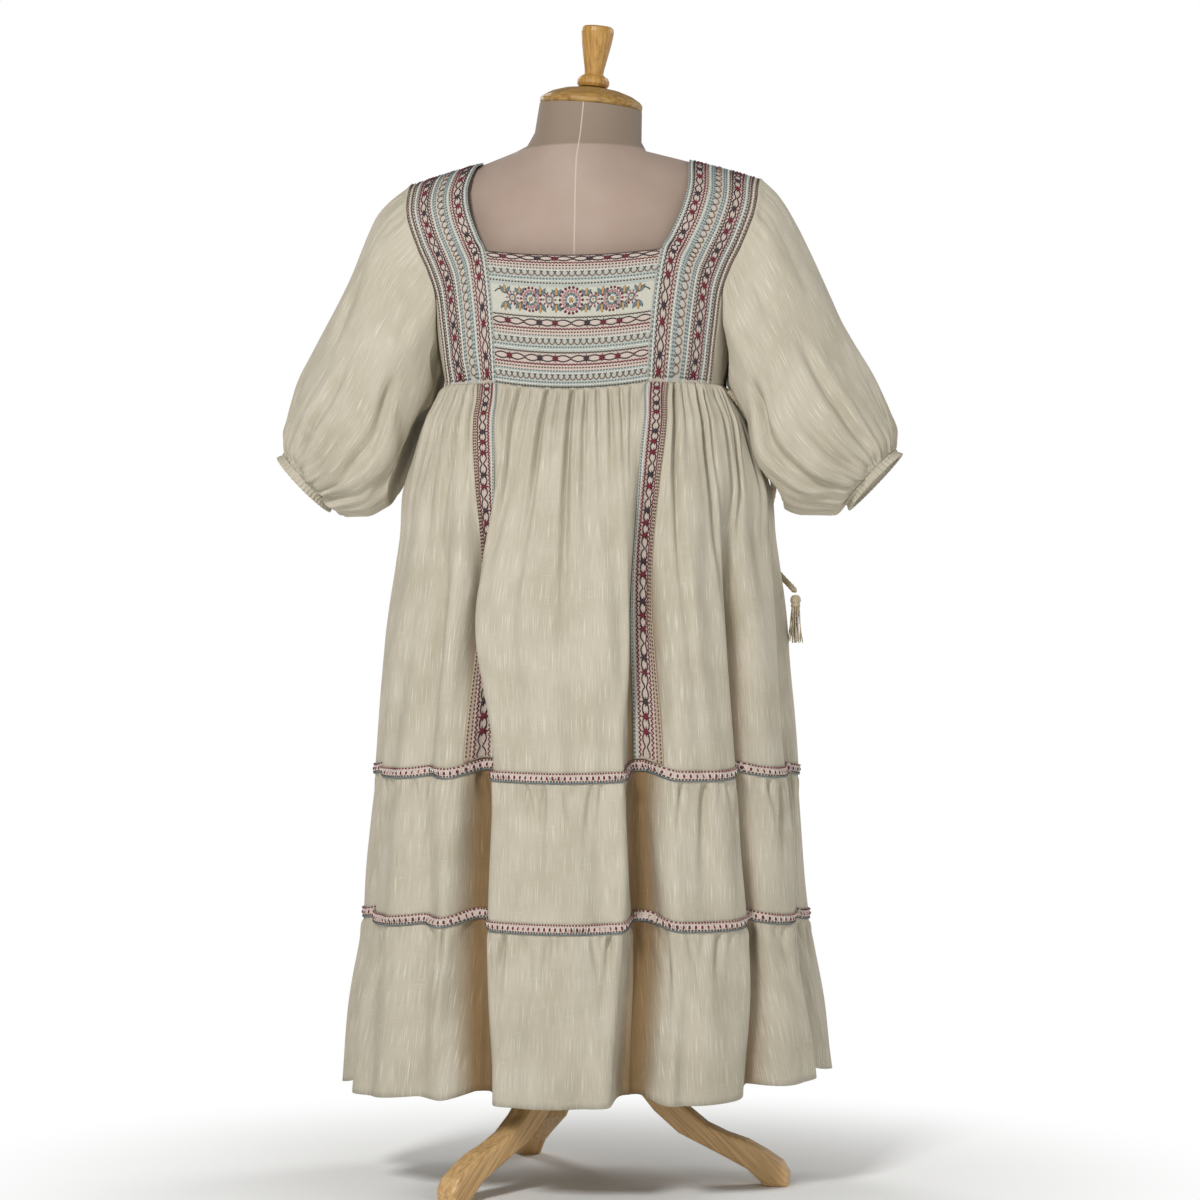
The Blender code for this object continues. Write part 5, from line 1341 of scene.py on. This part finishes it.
# Creases of the sleeves: turn from the top over the back in degrees, start, end, depth, half width
SLEEVE_CREASES = {
    "right": (
        (118, 0.30, 0.92, 0.0220, 5), (66, 0.42, 0.94, 0.0140, 5), (92, 0.55, 0.97, 0.0110, 4),
        (38, 0.10, 0.45, 0.0050, 7), (78, 0.05, 0.34, 0.0060, 6), (20, 0.60, 0.95, 0.0070, 6),
        (105, 0.08, 0.36, 0.0060, 6), (150, 0.35, 0.75, 0.0100, 8), (250, 0.30, 0.80, 0.0140, 8),
        (300, 0.40, 0.90, 0.0100, 7), (215, 0.50, 0.92, 0.0100, 7), (335, 0.15, 0.55, 0.0050, 7),
    ),
    "left": (
        (112, 0.30, 0.86, 0.0150, 5), (70, 0.48, 0.95, 0.0120, 5), (45, 0.20, 0.60, 0.0050, 6),
        (90, 0.60, 0.97, 0.0100, 6), (140, 0.40, 0.80, 0.0100, 8), (25, 0.62, 0.95, 0.0070, 6),
        (128, 0.78, 1.06, 0.0150, 6), (82, 0.05, 0.32, 0.0060, 6), (100, 0.08, 0.30, 0.0050, 6),
        (245, 0.35, 0.82, 0.0140, 8), (295, 0.42, 0.90, 0.0100, 7), (215, 0.55, 0.92, 0.0100, 7),
        (330, 0.20, 0.55, 0.0050, 7),
    ),
}


def sleeve_lift(share, turn, hand):
    """Gathers at the cap and the cuff, and the long creases between them."""
    degrees = np.degrees(turn) % 360.0
    lift = np.zeros(np.broadcast(share, turn).shape)
    for place, (count, salts, short, longer, depth, varied, half) in SLEEVE_GATHERS.items():
        from_seam = 1.0 - share if place == "cuff" else share
        for number in range(count):
            middle = 360.0 * (number + 0.6 * (uneven(number, salts[0]) - 0.5)) / count
            reach = short + longer * uneven(number, salts[1]) ** 2
            deep = depth * (0.4 + varied * uneven(number, salts[2]))
            if place == "cap":
                deep *= ease(1 - (1 - math.cos(math.radians(middle))) * CAP_UPPER)
            valley = np.exp(-(degrees_past(degrees, middle) / half) ** 2)
            lift -= deep * valley * np.exp(-((from_seam / reach) ** 2))
    for middle, start, end, deep, width in SLEEVE_CREASES[hand]:
        away = degrees_past(degrees, middle)
        grown = ease((share - start) / 0.16) * ease((end - share) / 0.12)
        valley = np.exp(-(away / width) ** 2) - 0.45 * np.exp(-((away / (2.1 * width)) ** 2))
        lift -= deep * grown * valley
    lift += 0.0016 * np.sin(7 * turn + 9 * share) * ease(share / 0.2)
    return lift * ease(share / 0.03) * ease((1.0 - share) / 0.01)


def cuff_grid(last, rows=14):
    """The casing and the frill beyond the sleeve's last ring."""
    across = np.array((SLEEVE_TOP[-1][0] - SLEEVE_UNDER[-1][0], 0.0,
                       SLEEVE_TOP[-1][1] - SLEEVE_UNDER[-1][1]))
    across /= np.linalg.norm(across)
    onward = np.array((across[2], 0.0, -across[0]))
    middle = last.mean(axis=0)
    out = last - middle
    out /= np.linalg.norm(out, axis=1, keepdims=True)
    turn = 2 * math.pi * np.arange(len(last)) / len(last)
    made = []
    for step in np.linspace(CUFF_START, CUFF_CASING + CUFF_FRILL, rows):
        frill = max(0.0, (step - CUFF_CASING) / CUFF_FRILL)
        wave = np.cos(CUFF_WAVES * turn + 1.5 * np.sin(3 * turn)) * (CUFF_WAVE + FRILL_WAVE * frill)
        nip = CUFF_NIP * math.exp(-(((step - CUFF_CASING) / NIP_HALF) ** 2))
        lift = wave + CUFF_FLARE * frill - nip
        made.append(last + onward * step + out * lift[:, None])
    return np.array(made)


for sign, hand, out in ((1, "right", 0.0), (-1, "left", LEFT_SLEEVE_OUT)):
    bare, share, turn = sleeve_grid(out)
    middle = bare.mean(axis=1, keepdims=True)
    facing = grid_normals(bare, closed=True)
    facing *= np.sign(((bare - middle) * facing).sum(axis=-1).mean())
    lift = sleeve_lift(share, turn, hand)[..., None]
    points = bare + facing * lift
    cuff = cuff_grid(points[-1])
    for grid, name in ((points, "sleeve_"), (cuff, "cuff_")):
        placed = grid * np.array((sign, 1.0, 1.0))
        if sign > 0:
            placed = placed[:, ::-1]
        whole = np.concatenate([placed, placed[:, :1]], axis=1)
        cloth_piece(name + hand + "_cloth", whole, ecru, [name + hand],
                    closed=True)


# Dress form
# A moulded torso covered in smooth, stretched, greyish pink cloth, sewn down the middle of the
# back and the front. The neck's cover is painted darker, as painted shade under the cap.
NECK_START, NECK_TILT = 1.2100, 0.090
SEAM_HALF = 0.0006
form_cloth, tree, shader = new_material("stretched_form_cloth", 0.85)
place = add_node(tree, "ShaderNodeTexCoord")
weave = add_node(tree, "ShaderNodeTexNoise", {"Scale": 900.0, "Detail": 2.0},
                 {"Vector": place.outputs["Object"]})
stain = add_node(tree, "ShaderNodeTexNoise", {"Scale": 9.0, "Detail": 4.0},
                 {"Vector": place.outputs["Object"]})
cover = add_node(tree, "ShaderNodeValToRGB", {"stops": ((0.35, "9E8A7C"), (0.65, "AA978A"))},
                 {"Fac": stain.outputs["Fac"]})
parts = add_node(tree, "ShaderNodeSeparateXYZ", links={"Vector": place.outputs["Object"]})
# Above the base of the neck the cover is mixed towards a darker brown: painted shade under the cap
neck_shade_share = add_node(tree, "ShaderNodeMapRange", {"From Min": 1.2240, "From Max": 1.2265, "To Max": 0.85},
                   {"Value": parts.outputs["Z"]})
neck_painted_shade = add_node(tree, "ShaderNodeMix", {"data_type": "RGBA", 7: linear("827261")},
                   {0: neck_shade_share.outputs["Result"], 6: cover.outputs["Color"]})
above = add_node(tree, "ShaderNodeMath", {"operation": "SUBTRACT", 1: NECK_START},
                 {0: parts.outputs["Z"]})
rise = add_node(tree, "ShaderNodeMath", {"operation": "MAXIMUM", 1: 0.0}, {0: above.outputs["Value"]})
tilted = add_node(tree, "ShaderNodeMath", {"operation": "MULTIPLY", 1: NECK_TILT},
                  {0: rise.outputs["Value"]})
across = add_node(tree, "ShaderNodeMath", {"operation": "SUBTRACT"},
                  {0: parts.outputs["X"], 1: tilted.outputs["Value"]})
away = add_node(tree, "ShaderNodeMath", {"operation": "ABSOLUTE"}, {0: across.outputs["Value"]})
on_seam = add_node(tree, "ShaderNodeMapRange",
                   {"From Min": SEAM_HALF, "From Max": 1.6 * SEAM_HALF, "To Min": 0.6, "To Max": 0.0},
                   {"Value": away.outputs["Value"]})
seamed = add_node(tree, "ShaderNodeMix", {"data_type": "RGBA", 7: linear("CBBDB0")},
                  {0: on_seam.outputs["Result"], 6: neck_painted_shade.outputs[2]})
tree.links.new(seamed.outputs[2], shader.inputs["Base Color"])
relief = add_node(tree, "ShaderNodeBump", {"Strength": 0.3, "Distance": 0.0005},
                  {"Height": weave.outputs["Fac"]})
tree.links.new(relief.outputs["Normal"], shader.inputs["Normal"])
# The cover is drawn on a copy of the solid, its edges merged so that it shades as one smooth skin
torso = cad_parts["torso"]
skin = bmesh.new()
skin.from_mesh(torso.data)
skin.transform(torso.matrix_world)
bmesh.ops.remove_doubles(skin, verts=skin.verts, dist=0.00001)
points = [tuple(corner.co) for corner in skin.verts]
faces = [[corner.index for corner in face.verts] for face in skin.faces]
skin.free()
cover_skin = mesh_piece("torso_cover", points, faces, form_cloth)
cover_skin.data.set_sharp_from_angle(angle=math.radians(40.0))
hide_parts("torso")


# Cap, finial, pole and legs
# Turned and sawn beech with a satin varnish: straight grain along each piece, warm brown
ACROSS_GRAIN, ALONG_GRAIN = 320.0, 14.0


def varnished_wood(name, pale, dark, direction, leg_turn=0.0, leg_fall=0.0):
    """Varnished beech, its grain lines 1 to 3 mm apart and drawn along one axis.

    A leg's own pattern is turned and tilted first, so that the X axis lies along the leg.
    """
    made, tree, shader = new_material(name, 0.42)
    place = add_node(tree, "ShaderNodeTexCoord")
    spread = [ACROSS_GRAIN] * 3
    spread[direction] = ALONG_GRAIN
    turned = add_node(tree, "ShaderNodeMapping", {"Rotation": (0.0, 0.0, -leg_turn)},
                      {"Vector": place.outputs["Object"]})
    tilted = add_node(tree, "ShaderNodeMapping", {"Rotation": (0.0, -leg_fall, 0.0)},
                      {"Vector": turned.outputs["Vector"]})
    along = add_node(tree, "ShaderNodeMapping", {"Scale": tuple(spread)},
                     {"Vector": tilted.outputs["Vector"]})
    grain = add_node(tree, "ShaderNodeTexNoise", {"Scale": 1.0, "Detail": 4.0},
                     {"Vector": along.outputs["Vector"]})
    figure = add_node(tree, "ShaderNodeValToRGB", {"stops": ((0.32, dark), (0.62, pale))},
                      {"Fac": grain.outputs["Fac"]})
    tree.links.new(figure.outputs["Color"], shader.inputs["Base Color"])
    relief = add_node(tree, "ShaderNodeBump", {"Strength": 0.15, "Distance": 0.0004},
                      {"Height": grain.outputs["Fac"]})
    tree.links.new(relief.outputs["Normal"], shader.inputs["Normal"])
    return made


cap_wood = varnished_wood("varnished_beech_cap", "A98448", "84602B", 0)
finial_wood = varnished_wood("varnished_beech_finial", "B98F48", "996C32", 2)
finishes = [("neck_cap", cap_wood), ("finial", finial_wood)]
for name in ("hub", "pole", "leg_1", "leg_2", "leg_3"):
    low, high = (np.array(corner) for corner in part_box(name))
    across = (low + high) / 2
    is_leg = name.startswith("leg")
    leg_turn = math.atan2(across[1], across[0]) if is_leg else 0.0
    leg_fall = math.atan2(high[2], 2 * math.hypot(across[0], across[1])) if is_leg else 0.0
    finishes.append((name, varnished_wood("varnished_beech_" + name, "DCB680", "B88F5C",
                                          0 if is_leg else 2, leg_turn, leg_fall)))
for name, finish in finishes:
    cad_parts[name].data.materials.clear()
    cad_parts[name].data.materials.append(finish)


# Floor and light
# A plain pale studio floor, a soft key light at the upper left, a weaker fill at the right, and two
# lamps behind the form
floor_material, tree, shader = new_material("pale_studio_floor", 0.9)
shader.inputs["Base Color"].default_value = linear("F6F6F4")
# Beyond the object the floor shines evenly, as a lit studio sweep does, so that it meets the wall
place = add_node(tree, "ShaderNodeTexCoord")
out_from = add_node(tree, "ShaderNodeVectorMath", {"operation": "LENGTH"},
                    {0: place.outputs["Object"]})
sweep = add_node(tree, "ShaderNodeMapRange",
                 {"interpolation_type": "SMOOTHSTEP", "From Min": 0.28, "From Max": 0.85},
                 {"Value": out_from.outputs["Value"]})
shine = add_node(tree, "ShaderNodeEmission", {"Color": (1.0, 1.0, 1.0, 1.0), "Strength": 1.0})
floor_mix = add_node(tree, "ShaderNodeMixShader", links={0: sweep.outputs["Result"]})
tree.links.new(shader.outputs["BSDF"], floor_mix.inputs[1])
tree.links.new(shine.outputs["Emission"], floor_mix.inputs[2])
tree.links.new(floor_mix.outputs["Shader"], tree.nodes["Material Output"].inputs["Surface"])
bpy.ops.mesh.primitive_plane_add(size=40.0, location=(0.0, 0.0, 0.0))
floor = bpy.context.object
floor.name = "studio_floor"
floor.data.materials.append(floor_material)

bpy.context.scene.view_settings.view_transform = "Standard"
world = bpy.data.worlds.new("studio")
world.use_nodes = True
tree = world.node_tree
background = tree.nodes["Background"]
background.inputs["Color"].default_value = (1.0, 1.0, 1.0, 1.0)
background.inputs["Strength"].default_value = 0.21
backdrop = add_node(tree, "ShaderNodeBackground", {"Color": (1.0, 1.0, 1.0, 1.0), "Strength": 1.0})
seen = add_node(tree, "ShaderNodeLightPath")
shown = add_node(tree, "ShaderNodeMixShader", links={0: seen.outputs["Is Camera Ray"]})
tree.links.new(background.outputs["Background"], shown.inputs[1])
tree.links.new(backdrop.outputs["Background"], shown.inputs[2])
tree.links.new(shown.outputs["Shader"], tree.nodes["World Output"].inputs["Surface"])
bpy.context.scene.world = world
# name, place, size, watts
LAMPS = (
    ("key", (-0.9, -3.8, 3.1), 0.8, 132.0),
    ("fill", (2.2, -3.8, 1.7), 1.4, 24.0),
    ("back_left", (-2.6, 3.2, 2.8), 1.6, 60.0),
    ("back_right", (2.8, 2.6, 2.6), 1.6, 55.0),
)
LAMP_AIM = Vector((0.0, 0.0, 0.75))
for name, place, size, watts in LAMPS:
    lamp_data = bpy.data.lights.new(name, "AREA")
    lamp_data.size = size
    lamp_data.energy = watts
    lamp = bpy.data.objects.new(name, lamp_data)
    lamp.location = place
    lamp.rotation_euler = (LAMP_AIM - Vector(place)).to_track_quat("-Z", "Y").to_euler()
    bpy.context.scene.collection.objects.link(lamp)
